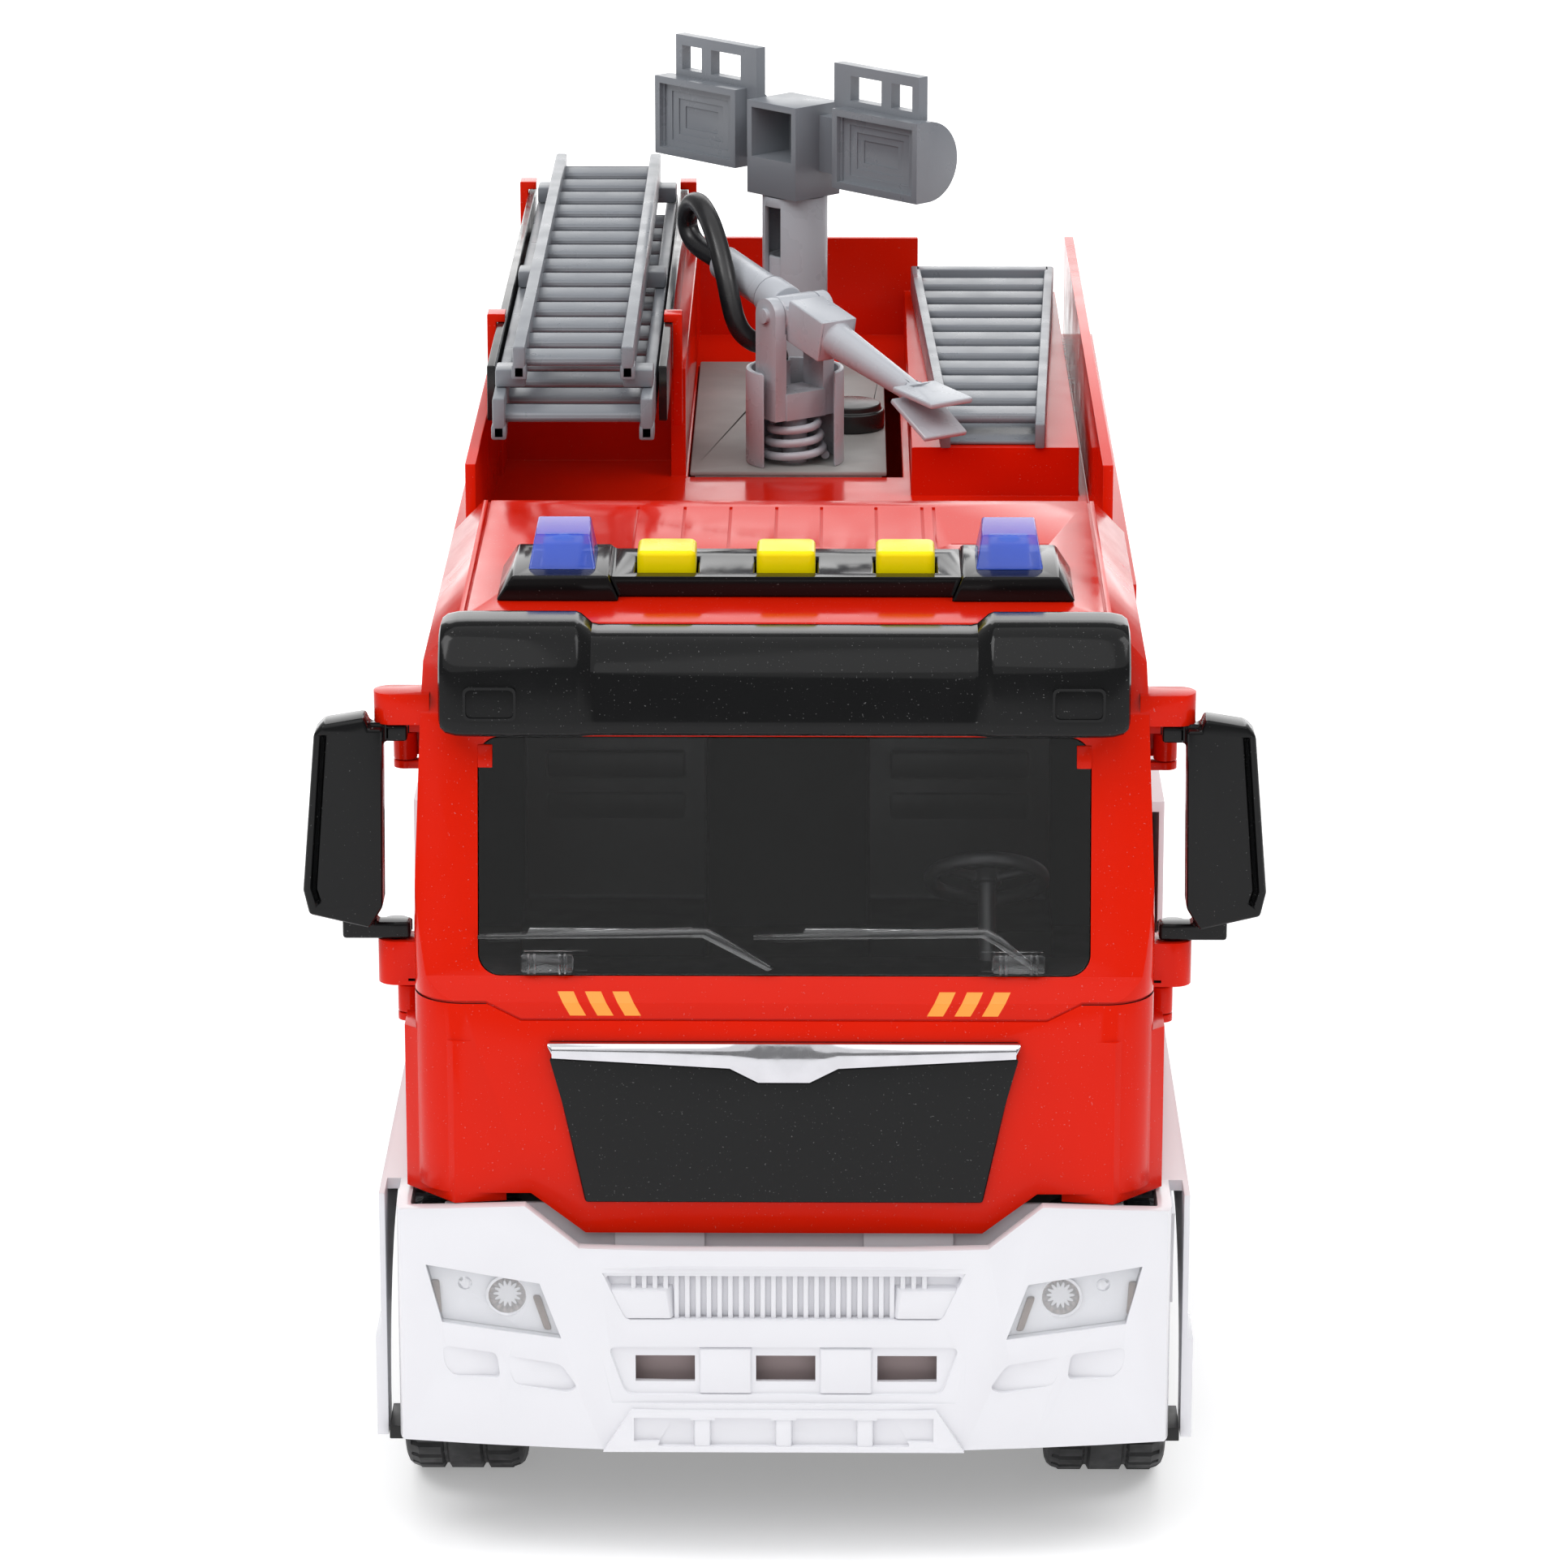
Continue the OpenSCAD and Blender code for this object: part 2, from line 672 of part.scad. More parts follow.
module windscreen() {
    clip = 11;
    color(clear) on_screen() {
        translate([0, 0, -1.2]) linear_extrude(1.2) screen_outline(-0.2);
        // clips at the lower edge
        for (x = [-40, 40]) translate([x - clip/2, 1, -0.1]) cube([clip, 3.4, 1.2]);
        // moulded wipers
        for (x = [-52, -2]) translate([x, 6, -0.1]) rotate(2) cube([36, 1.3, 1.1]);
    }
}

module grille_panel() {
    panel = [[-35, 67.4], [35, 67.4], [41.3, 97], [-41.3, 97]];
    color(black) difference() {
        upright(cab_front_y - 1.4, cab_front_y) polygon(panel);
        grille_trim_outline();
    }
}

// Chrome strip along the top edge, dropping in the middle
module grille_trim_outline() {
    upright(cab_front_y - 2.2, cab_front_y - 0.5)
        polygon([[-41.3, 97], [-40.6, 94.4], [-9.5, 92.6], [-4.5, 90], [4.5, 90], [9.5, 92.6], [40.6, 94.4], [41.3, 97]]);
}

module grille_trim() {
    color(steel) grille_trim_outline();
}

// Sun visor across the top of the windscreen, standing on the cab's front
module visor() {
    visor_w = 120;
    outer = [[cab_front_y + 3.5, 151.5], [cab_front_y + 7, 150.5], [cab_front_y + 14.5, 153],
        [cab_front_y + 20.5, roof_z], [cab_front_y + 20.5, roof_z + 3], [cab_front_y + 11, roof_z + 3],
        [cab_front_y + 5, roof_z - 3]];
    color(black) difference() {
        sideways(-visor_w/2, visor_w/2) polygon(outer);
        cab_block(0);
        // the middle is lower than the ends
        block([-34, cab_front_y, roof_z + 0.5], [34, cab_front_y + 14, roof_z + 5]);
        block([-34, cab_front_y - cut, 140], [34, cab_front_y + 5, roof_z + 5]);
    }
}

interior_z = 84;
seat_x = 32;
seat_w = 34;

module seat() {
    y = door_front_y + 34;
    translate([seat_x, 0, 0]) sideways(-seat_w/2, seat_w/2) polygon([
        [y - 4, interior_z], [y - 4, interior_z + 15], [y + 22, interior_z + 13],
        [y + 26, interior_z + 62], [y + 34, interior_z + 62], [y + 32, interior_z]
    ]);
}

// Floor, dashboard and two seats in one moulding
module cab_interior() {
    inner_w = cab_w - 2*wall - 2*slide_gap;
    dash_w = inner_w - 14;
    y0 = cab_front_y + wall + 0.5;
    y1 = cab_back_y - wall - 0.5;
    color(black) {
        block([-inner_w/2, y0 + 8, interior_z - wall], [inner_w/2, y1, interior_z]);
        sideways(-dash_w/2, dash_w/2) polygon([
            [y0, interior_z - wall], [y0, screen_z - 8], [y0 + 8, screen_z - 2],
            [y0 + 21, screen_z - 3], [y0 + 23, interior_z]
        ]);
        for (side = [-1, 1]) on_side(side) seat();
    }
}

module steering_wheel() {
    ring_r = 10;
    color("dimgray") translate([seat_x + 4, cab_front_y + 32, screen_z + 9]) rotate([-38, 0, 0]) {
        rotate_extrude() translate([ring_r, 0]) circle(1.3);
        cylinder(r = 2.6, h = 2.4, center = true);
        for (angle = [0, 120, 240]) rotate([0, 90, 90 + angle]) cylinder(r = 0.9, h = ring_r);
        translate([0, 0, -16.5]) cylinder(r = 1.6, h = 16.5);
    }
}

// Housing with two arms held between the bosses on the cab
module mirror_unit() {
    arm_w = 5;
    color(black) difference() {
        union() {
            // housing, wider at the bottom
            upright(mirror_y - 5, mirror_y + 1.5) polygon([[70.6, 118], [70.2, 150.4], [72.6, 150.4], [73.4, 152.4],
                [80.6, 151.2], [82.2, 149.5], [84.6, 121], [83.6, 116.5], [73, 114]]);
            block([mirror_x - 2.6, mirror_y - arm_w/2, mirror_top_z - 3 - slide_gap],
                [74, mirror_y + arm_w/2 - 1, mirror_top_z - slide_gap]);
            block([mirror_x - 2.6, mirror_y - arm_w/2, mirror_low_z + slide_gap],
                [75, mirror_y + arm_w/2 - 1, mirror_low_z + 3 + slide_gap]);
            block([72, mirror_y - arm_w/2, mirror_low_z + slide_gap], [78, mirror_y + arm_w/2 - 1, 117]);
            for (z = [mirror_top_z - 3 - slide_gap, mirror_low_z + slide_gap])
                translate([mirror_x, mirror_y, z]) cylinder(r = 2.6, h = 3);
            translate([mirror_x, mirror_y, mirror_top_z - 2]) cylinder(r = mirror_pin_r, h = 5.5);
            translate([mirror_x, mirror_y, mirror_low_z - 3.5]) cylinder(r = mirror_pin_r, h = 5.5);
        }
    }
}

// ---------------------------------------------------------------- light bar

bar_y = front_y + 55;
bar_l = 24;
bar_top_z = roof_z + 4.6;
bar_centre_l = 18;
beacon_x = 39.8;
beacon_w = 12;
beacon_l = 14;
beacon_h = 6.6;
button_hole = button_side + 2*slide_gap;
stem_side = button_side - 4;
board_z = roof_z - 8;
switch_h = 3.3;
stem_bottom_z = board_z + 1.6 + switch_h + button_travel + 0.15;

module light_bar() {
    color(black) difference() {
        union() {
            // ends taper towards the top
            for (side = [-1, 1]) on_side(side) {
                upright(bar_y - bar_l/2, bar_y + bar_l/2)
                    polygon([[bar_w/2 - 22, roof_z], [bar_w/2, roof_z], [bar_w/2 - 3, bar_top_z], [bar_w/2 - 20, bar_top_z]]);
                translate([bar_w/2 - 20.6, bar_y, board_z + 1.6]) cylinder(r = 2, h = roof_z - board_z);
            }
            block([-bar_w/2 + 20, bar_y - bar_centre_l/2, roof_z], [bar_w/2 - 20, bar_y + bar_l/2, bar_top_z - 0.8]);
        }
        for (i = [-1 : 1])
            translate([i*button_pitch - button_hole/2, bar_y - button_hole/2, roof_z - cut])
                cube([button_hole, button_hole, 10]);
        for (side = [-1, 1])
            translate([side*beacon_x, bar_y, roof_z - 2*cut]) cylinder(r = 3.2, h = 10);
    }
}

module beacon() {
    top = 2.6;        // how much the sides lean in
    color([0.1, 0.2, 0.9, 0.5]) difference() {
        intersection() {
            upright(bar_y - beacon_l/2, bar_y + beacon_l/2) polygon([[beacon_x - beacon_w/2, bar_top_z],
                [beacon_x + beacon_w/2, bar_top_z], [beacon_x + beacon_w/2 - top/2, bar_top_z + beacon_h],
                [beacon_x - beacon_w/2 + top/2, bar_top_z + beacon_h]]);
            sideways(0, 80) polygon([[bar_y - beacon_l/2, bar_top_z], [bar_y + beacon_l/2, bar_top_z],
                [bar_y + beacon_l/2 - 1, bar_top_z + beacon_h], [bar_y - beacon_l/2 + 3, bar_top_z + beacon_h - 1]]);
        }
        // hollow over the lamp
        translate([beacon_x - beacon_w/2 + 2.4, bar_y - beacon_l/2 + 3.4, bar_top_z - cut])
            cube([beacon_w - 4.8, beacon_l - 6, beacon_h - 2.6 + cut]);
    }
}

module button(i) {
    cap_z = roof_z + 1;
    color("gold") translate([i*button_pitch, bar_y, 0]) {
        translate([0, 0, cap_z + button_travel]) linear_extrude(bar_top_z + button_rise - cap_z - button_travel)
            round_rect(button_side, button_side, 1.4);
        translate([-stem_side/2, -stem_side/2, stem_bottom_z])
            cube([stem_side, stem_side, cap_z + button_travel - stem_bottom_z + 0.5]);
    }
}

module switch_board() {
    board_w = 2*(bar_w/2 - 7);
    color("seagreen") {
        translate([-board_w/2, bar_y - 6.5, board_z]) cube([board_w, 13, 1.6]);
        for (i = [-1 : 1]) translate([i*button_pitch - 3, bar_y - 3, board_z + 1.6]) {
            cube([6, 6, switch_h - 0.8]);
            translate([3, 3, 0]) cylinder(r = 1.7, h = switch_h);
        }
        // lamps under the beacons
        for (side = [-1, 1]) translate([side*beacon_x, bar_y, board_z + 1.6])
            cylinder(r = 2.3, h = bar_top_z + 2.5 - board_z - 1.6);
    }
}

// ---------------------------------------------------------------- bed

hatch_x0 = -21;
hatch_x1 = 22.4;
plate_x0 = -20.7;
plate_x1 = 19.2;
plate_y0 = front_y + 207.5;
mast_y = rear_y - 51;
plate_l = mast_y + 14.5 - plate_y0;
plate_t = 1;
ladder_x = -bed_w/2 + 20;
ladder_box_y = bed_y + 86;
ladder_box_w = 40;
ladder_box_top = deck_z + 22.5;
rack_box_w = 33.5;
rack_box_x = bed_w/2 - 4 - rack_box_w;
rack_box_y = bed_y + 70;
rack_box_top = deck_z + 10;
clip_ys = [ladder_box_y - 8, rear_y - 9];
clip_l = 5;
clip_t = 1.8;
cradle_top = ladder_box_top + 11;
mast_r = mast_d/2;

module body_shell() {
    low_w = bed_w + 9;
    color(red) {
        difference() {
            union() {
                block([-low_w/2, bed_y, skirt_z], [low_w/2, rear_y - 3, deck_z]);
                block([-bed_w/2, bed_wall_y, skirt_z], [bed_w/2, rear_y - 3, wall_top_z]);
            }
            // bed, open at the top; the back wall stands only behind the ladders
            block([-bed_w/2 + wall, bed_wall_y - cut, deck_z], [bed_w/2 - wall, rear_y - 3 - wall, wall_top_z + cut]);
            block([27, rear_y - 10, deck_z], [bed_w/2 - wall, rear_y, wall_top_z + cut]);
            // space under the deck
            block([-low_w/2 + wall, bed_y + wall, skirt_z - cut], [low_w/2 - wall, rear_y - 3 - wall, deck_z - wall]);
            block([hatch_x0, plate_y0 - 0.5, deck_z - wall - cut], [hatch_x1, plate_y0 + plate_l + 0.5, deck_z + cut]);
        }
        difference() {
            union() {
                // box under the ladders
                block([-bed_w/2 + 0.5, ladder_box_y, deck_z - 0.5],
                    [-bed_w/2 + ladder_box_w, rear_y - 4, ladder_box_top]);
                // box under the rack
                block([rack_box_x, rack_box_y, deck_z - 0.5], [rack_box_x + rack_box_w, rear_y - 5, rack_box_top]);
            }
            block([-bed_w/2 + wall, ladder_box_y + wall + 14, deck_z - cut],
                [-bed_w/2 + ladder_box_w - wall, rear_y - 6, ladder_box_top - wall]);
            // recessed front of the ladder box
            block([-bed_w/2 + 3, ladder_box_y - cut, deck_z - cut],
                [-bed_w/2 + ladder_box_w - 3, ladder_box_y + 14, ladder_box_top + cut]);
            block([rack_box_x + wall, rack_box_y + wall, deck_z - cut],
                [rack_box_x + rack_box_w - wall, rear_y - 7, rack_box_top - wall]);
        }
        // clips over the cradle
        for (y = clip_ys, side = [-1, 1]) translate([ladder_x, y, 0]) on_side(side) {
            block([cradle_w/2 + 0.2, 0, ladder_box_top - 10], [cradle_w/2 + 0.2 + clip_t, clip_l, cradle_top + 1.8]);
            block([cradle_w/2 - 1.6, 0, cradle_top + 0.1], [cradle_w/2 + 0.2 + clip_t, clip_l, cradle_top + 1.8]);
        }
    }
}

cap_x = 12;
cap_y = plate_y0 + 39.5;
cap_r = 7;
tower_x = 0.5;
tower_y = front_y + 217.5;
tower_in_r = tower_d/2 - 1.2;
tank_top_z = deck_z - 0.01;
plate_top_z = deck_z + plate_t;
pump_floor_z = deck_z - 28;
neck_r = 4.5;

module tank_cover() {
    color("dimgray") difference() {
        block([plate_x0, plate_y0, deck_z], [plate_x1, plate_y0 + plate_l, plate_top_z]);
        translate([tower_x, tower_y, deck_z - cut]) cylinder(d = plunger_d + 2*pin_gap, h = 4);
        translate([cap_x, cap_y, deck_z - cut]) cylinder(r = neck_r + 0.1, h = 4);
        translate([0, mast_y, deck_z - cut]) cylinder(r = mast_r, h = 4);
    }
}

// Closed tank under the cover, with the pump cylinder and the filler neck
module water_tank() {
    low_z = deck_z - 40;
    tank_wall = 1.6;
    pump_r = plunger_d/2 + 2.4;
    color("white") difference() {
        union() {
            difference() {
                block([plate_x0 + 1, plate_y0 + 0.5, low_z], [plate_x1 - 1, plate_y0 + plate_l - 1, deck_z]);
                block([plate_x0 + 1 + tank_wall, plate_y0 + 0.5 + tank_wall, low_z + tank_wall],
                    [plate_x1 - 1 - tank_wall, plate_y0 + plate_l - 1 - tank_wall, deck_z - tank_wall]);
            }
            translate([tower_x, tower_y, pump_floor_z - 2]) cylinder(r = pump_r, h = deck_z - pump_floor_z + 2);
            translate([cap_x, cap_y, deck_z - 4]) cylinder(r = neck_r, h = plate_t + 6);
        }
        translate([tower_x, tower_y, pump_floor_z]) cylinder(d = plunger_d + 2*pin_gap, h = 60);
        translate([cap_x, cap_y, deck_z - 5]) cylinder(r = neck_r - 1.2, h = 20);
        translate([0, mast_y, deck_z - 5]) cylinder(r = mast_r, h = 20);
    }
}

module filler_cap() {
    color(black) translate([cap_x, cap_y, plate_top_z]) difference() {
        union() {
            cylinder(r = cap_r, h = 4);
            translate([0, 0, 4]) cylinder(r = cap_r - 0.8, h = 1.4);
        }
        translate([0, 0, -cut]) cylinder(r = neck_r, h = 3 + cut);
    }
}

// ---------------------------------------------------------------- water monitor

tower_h = 19.5;
spring_r = 7.9;
spring_base_h = 1.4;
spring_z0 = plate_top_z + 0.1;
fork_z = plate_top_z + 9.5;
fork_base_h = 5.5;
ear_gap = 9.8;
ear_t = 2.4;
ear_l = 7;
pivot_z = deck_z + 32;
pivot_r = 1.5;
monitor_turn = 36;    // the monitor stands turned towards the right at rest
nozzle_dip = 13;      // and points down a little

// Frame of the monitor: -Y is where the nozzle points, seen from above
module on_monitor() {
    translate([tower_x, tower_y, 0]) rotate(monitor_turn) children();
}

module on_nozzle() {
    on_monitor() translate([0, 0, pivot_z]) rotate([nozzle_dip, 0, 0]) children();
}

// Guide tower, a tube that is open towards the front
module pump_tower() {
    color(grey) translate([tower_x, tower_y, plate_top_z]) difference() {
        cylinder(d = tower_d, h = tower_h);
        translate([0, 0, -cut]) cylinder(r = tower_in_r, h = tower_h + 2*cut);
        rotate(180 + 8) translate([-tower_d*0.36, 0, -cut]) cube([tower_d*0.72, tower_d, tower_h + 2*cut]);
    }
}

// Swept round wire along a list of points, closed at both ends
function ring_at(points, i, r, sides) =
    let (last = len(points) - 1,
        a = points[max(i - 1, 0)],
        b = points[min(i + 1, last)],
        t = (b - a)/norm(b - a),
        up = abs(t[2]) > 0.9 ? [0, 1, 0] : [0, 0, 1],
        u0 = cross(t, up),
        u = u0/norm(u0),
        v = cross(u, t))
    [for (k = [0 : sides - 1]) points[i] + r*(cos(360*k/sides)*u + sin(360*k/sides)*v)];

module swept(points, r, sides) {
    n = len(points);
    rings = [for (i = [0 : n - 1]) each ring_at(points, i, r, sides)];
    sides_faces = [for (i = [0 : n - 2], k = [0 : sides - 1])
        [i*sides + k, i*sides + (k + 1) % sides, (i + 1)*sides + (k + 1) % sides, (i + 1)*sides + k]];
    first_cap = [[for (k = [sides - 1 : -1 : 0]) k]];
    last_cap = [[for (k = [0 : sides - 1]) (n - 1)*sides + k]];
    polyhedron(points = rings, faces = concat(sides_faces, first_cap, last_cap));
}

// Conical coil on a flat foot
module pump_spring() {
    turns = 3.5;
    steps = 14;
    wire_r = 0.75;
    coil_z = spring_z0 + spring_base_h - 0.3 + wire_r;
    rise = fork_z - slide_gap - wire_r - coil_z;
    bottom_r = 6.2;
    top_r = 4.4;
    coil = [for (i = [0 : turns*steps])
        let (share = i/(turns*steps), angle = i*360/steps, r = bottom_r + (top_r - bottom_r)*share)
        [r*cos(angle), r*sin(angle), coil_z + rise*share]];
    color(grey) translate([tower_x, tower_y, 0]) {
        difference() {
            translate([0, 0, spring_z0]) cylinder(r = spring_r, h = spring_base_h);
            translate([0, 0, spring_z0 - cut]) cylinder(d = plunger_d + 0.6, h = 5);
        }
        swept(coil, wire_r, 6);
    }
}

plunger_l = fork_z - pump_floor_z - pump_travel - 0.5;
riser_y = 5.9;
riser_top = plate_top_z + 20;

// Plunger, fork and the outlet that feeds the hose
module pump_fork() {
    color(grey) on_monitor() difference() {
        union() {
            translate([0, 0, fork_z - plunger_l]) cylinder(d = plunger_d, h = plunger_l + 2);
            block([-4.8, -4, fork_z], [4.8, 4, fork_z + fork_base_h]);
            for (side = [-1, 1]) on_side(side) {
                block([ear_gap/2 - 0.3, -ear_l/2, fork_z], [ear_gap/2 + ear_t, ear_l/2, pivot_z]);
                translate([0, 0, pivot_z]) cross_bar(ear_gap/2 - 0.01, ear_gap/2 + ear_t, ear_l/2);
            }
            translate([0, 0, pivot_z]) cross_bar(-ear_gap/2 - ear_t - 0.8, ear_gap/2 + ear_t + 0.8, pivot_r);
            translate([0, riser_y, fork_z]) cylinder(r = 2.6, h = riser_top - fork_z);
            block([-2, 2, fork_z], [2, riser_y, fork_z + fork_base_h]);
        }
        // room for the nozzle's boss between the ears
        translate([0, 0, pivot_z]) difference() {
            cross_bar(-ear_gap/2, ear_gap/2, 5);
            cross_bar(-ear_gap/2 - cut, ear_gap/2 + cut, pivot_r);
        }
        translate([0, riser_y, fork_z + 2]) cylinder(r = 1.2, h = 40);
    }
}

sleeve_l = 26;

// Barrel, clamp block and duckbill tip
module nozzle() {
    color(grey) on_nozzle() difference() {
        union() {
            // boss between the ears
            cross_bar(-ear_gap/2 + slide_gap/2, ear_gap/2 - slide_gap/2, 3.6);
            // sleeve behind the pivot
            translate([0, 3, 0]) rotate([-90, 0, 0]) cylinder(r = 4.1, h = 6);
            translate([0, 8, 0]) rotate([-90, 0, 0]) cylinder(r = 3.6, h = sleeve_l - 8);
            // clamp block in front of it
            block([-4.3, -15, -4.3], [4.3, -3, 4.3]);
            // tapered barrel
            translate([0, -14, 0]) rotate([90, 0, 0]) cylinder(r1 = 3.6, r2 = 2.2, h = nozzle_l - 26);
            translate([0, -nozzle_l + 13, 0]) rotate([90, 0, 0]) cylinder(r = 2.2, h = 3);
            // lips of the tip
            for (side = [[1.2, -8], [-1.2, 14]])
                translate([0, -nozzle_l + 12, side[0]]) rotate([side[1], 0, 0])
                    block([-5.2, -13, -0.6], [5.2, 0, 0.6]);
        }
        cross_bar(-ear_gap, ear_gap, pivot_r + pin_gap);
        // water way
        translate([0, sleeve_l + cut, 0]) rotate([90, 0, 0]) cylinder(r = 1.1, h = sleeve_l - 6);
    }
}

// Centre line of the hose in the monitor's frame: out of the fork's riser, up beside the
// barrel, over in a loop and into the back of the nozzle
hose_points = [
    [0, 5.9, 171.1], [0, 5.95, 171.8], [-0.6, 6.4, 172.9], [-2.4, 7.4, 174], [-4.6, 8.6, 175],
    [-6.3, 9.8, 176.8], [-7.2, 10.9, 179.5], [-7.4, 12.2, 183], [-7.1, 14, 186.8], [-6.4, 16.6, 190.5],
    [-5.5, 19.8, 194], [-4.5, 23.4, 197], [-3.4, 27.4, 199], [-2.2, 31.4, 199.6], [-1.2, 35, 198.6],
    [-0.5, 37.3, 196.2], [-0.1, 37.9, 193.4], [0, 36.4, 191], [0, 33.6, 189.6], [0, 30, 188.8], [0, 25.5, 187.85]
];

module hose() {
    color(black) on_monitor() swept(hose_points, hose_d/2, 10);
}

// ---------------------------------------------------------------- ladders

rail_t = 2.4;
cradle_z = ladder_box_top;
lower_z = cradle_z + 1.5;
lower_h = 8;
upper_z = lower_z + lower_h + 2.7;
upper_h = 6.3;
lower_y0 = bed_y + 17;
upper_y0 = bed_y + 22;
ladder_end = rear_y - 5;

// Two rails and the rungs between them, along Y from y0 to y1
module ladder(w, y0, y1, h) {
    for (side = [-1, 1]) on_side(side) block([w/2 - rail_t, y0, 0], [w/2, y1, h]);
    for (y = [y0 + 5 : rung_pitch : y1 - 3])
        translate([0, y, h/2]) cross_bar(-w/2 + rail_t/2, w/2 - rail_t/2, 1.3);
}

module ladder_cradle() {
    y0 = bed_y + 39;
    color([0.15, 0.15, 0.16]) translate([ladder_x, 0, 0]) {
        for (side = [-1, 1]) on_side(side) {
            block([cradle_w/2 - 1.6, y0, cradle_z + 0.01], [cradle_w/2, ladder_end, cradle_top]);
        }
        for (y = [ladder_box_y + 16 : 38 : ladder_end - 4])
            block([-cradle_w/2 + 1, y, cradle_z + 0.01], [cradle_w/2 - 1, y + 5, lower_z]);
    }
}

module lower_ladder() {
    color(grey) translate([ladder_x, 0, lower_z + 0.01]) ladder(lower_ladder_w, lower_y0, ladder_end, lower_h);
}

module upper_ladder() {
    foot_z = lower_z + lower_h + 0.1;
    color(grey) translate([ladder_x, 0, 0]) {
        translate([0, 0, upper_z]) ladder(upper_ladder_w, upper_y0, ladder_end, upper_h);
        // shoes that slide on the lower rails
        for (y = [upper_y0 + 4, upper_y0 + 96, ladder_end - 12], side = [-1, 1]) on_side(side)
            block([upper_ladder_w/2 - rail_t, y, foot_z], [lower_ladder_w/2, y + 7, upper_z + 1]);
    }
}

rack_y0 = front_y + 190;
rack_y1 = front_y + 337;
rack_z = rack_box_top;
rack_h = 6.6;
rack_left = [29.8, 25.4];
rack_right = [50.6, 57];

// Slatted rack that widens towards the back
module equipment_rack() {
    slats = 10;
    pitch = (rack_y1 - rack_y0 - 8)/slats;
    color(grey) {
        for (edge = [[rack_left, 0], [rack_right, -2]])
            translate([0, 0, rack_z]) linear_extrude(rack_h) polygon([
                [edge[0][0] + edge[1], rack_y0], [edge[0][0] + edge[1] + 2, rack_y0],
                [edge[0][1] + edge[1] + 2, rack_y1], [edge[0][1] + edge[1], rack_y1]]);
        for (i = [0 : slats - 1]) {
            share = (i + 0.5)/slats;
            x0 = rack_left[0] + (rack_left[1] - rack_left[0])*share + 1;
            x1 = rack_right[0] + (rack_right[1] - rack_right[0])*share - 1;
            sideways(x0, x1) translate([rack_y0 + 4 + i*pitch, rack_z])
                polygon([[0, 2.6], [pitch - 3, 5.6], [pitch - 3, 4.2], [0, 1.2]]);
        }
        // bar across the back
        block([rack_left[1], rack_y1 - 4, rack_z], [rack_right[1], rack_y1, rack_z + rack_h]);
    }
}

// ---------------------------------------------------------------- lamp mast

mast_turn = -46;      // the head stands turned at rest
tube_top = plate_top_z + mast_travel + 9;
post_top = plate_top_z + 40;
post_r = mast_r + 1.1;
head_z = post_top + slide_gap;
bank_x = 15;
bank_z = head_z + 3.6;
bank_flat = 3.5;
spigot_r = 3;

module on_mast() {
    translate([0, mast_y, 0]) rotate(mast_turn) children();
}

module mast_tube() {
    color(grey) translate([0, mast_y, deck_z - 3]) difference() {
        union() {
            cylinder(r = mast_r, h = tube_top - deck_z + 3);
            translate([0, 0, 3 + plate_t]) cylinder(r = mast_r + 3, h = 1.2);
        }
        translate([0, 0, 6]) cylinder(r = mast_r - 1.2, h = 60);
    }
}

// Slotted post that slides on the tube and carries the head
module mast_post() {
    z0 = plate_top_z + 2;
    color(grey) on_mast() difference() {
        union() {
            translate([0, 0, z0]) cylinder(r = post_r, h = post_top - z0);
            translate([0, 0, post_top - 1]) cylinder(r = spigot_r, h = 7);
        }
        translate([0, 0, z0 - cut]) cylinder(r = mast_r + pin_gap, h = post_top - z0 - 2 + cut);
        block([-2.4, -post_r - cut, z0 - cut], [2.4, 0, post_top - 2]);
    }
}

// Body of one bank: flat in front, round behind
module bank_outline() {
    translate([-bank_flat, 0]) square([bank_flat, bank_h]);
    intersection() {
        translate([0, bank_h/2]) circle(bank_h/2);
        square([bank_h, bank_h]);
    }
}

// Bracket with two banks of lamps and their guard frames
module lamp_head() {
    bank_l = head_l/2 - bank_x;
    box_w = 15;
    box_h = 20;
    frame_h = 9;
    color(grey) on_mast() difference() {
        union() {
            block([-box_w/2, -7, head_z], [box_w/2, 6, head_z + box_h]);
            for (side = [-1, 1]) on_side(side) {
                translate([0, 0, bank_z]) sideways(bank_x, head_l/2) bank_outline();
                block([0, 0, bank_z + 2], [bank_x + 1, 3, bank_z + bank_h - 3]);
                difference() {
                    block([bank_x - 3, 0, bank_z + 2], [head_l/2 - 3, 2.6, bank_z + bank_h + frame_h]);
                    block([bank_x + 2, -cut, bank_z + bank_h + 1.5],
                        [bank_x + 2 + (bank_l - 10)*0.6, 5, bank_z + bank_h + frame_h - 2.2]);
                    block([bank_x + 5 + (bank_l - 10)*0.6, -cut, bank_z + bank_h + 1.5],
                        [head_l/2 - 5, 5, bank_z + bank_h + frame_h - 2.2]);
                }
            }
        }
        // open front of the bracket
        block([-box_w/2 + 1.4, -7 - cut, head_z + 8], [box_w/2 - 1.4, 4, head_z + box_h - 1.4]);
        translate([0, 0, head_z - cut]) cylinder(r = spigot_r + pin_gap, h = 6.4 + cut);
        // shallow face of each bank
        for (side = [-1, 1]) on_side(side)
            block([bank_x + 1.5, -bank_flat - cut, bank_z + 1.5],
                [head_l/2 - 1.5, -bank_flat + 1, bank_z + bank_h - 1.5]);
    }
}

// ---------------------------------------------------------------- nodes

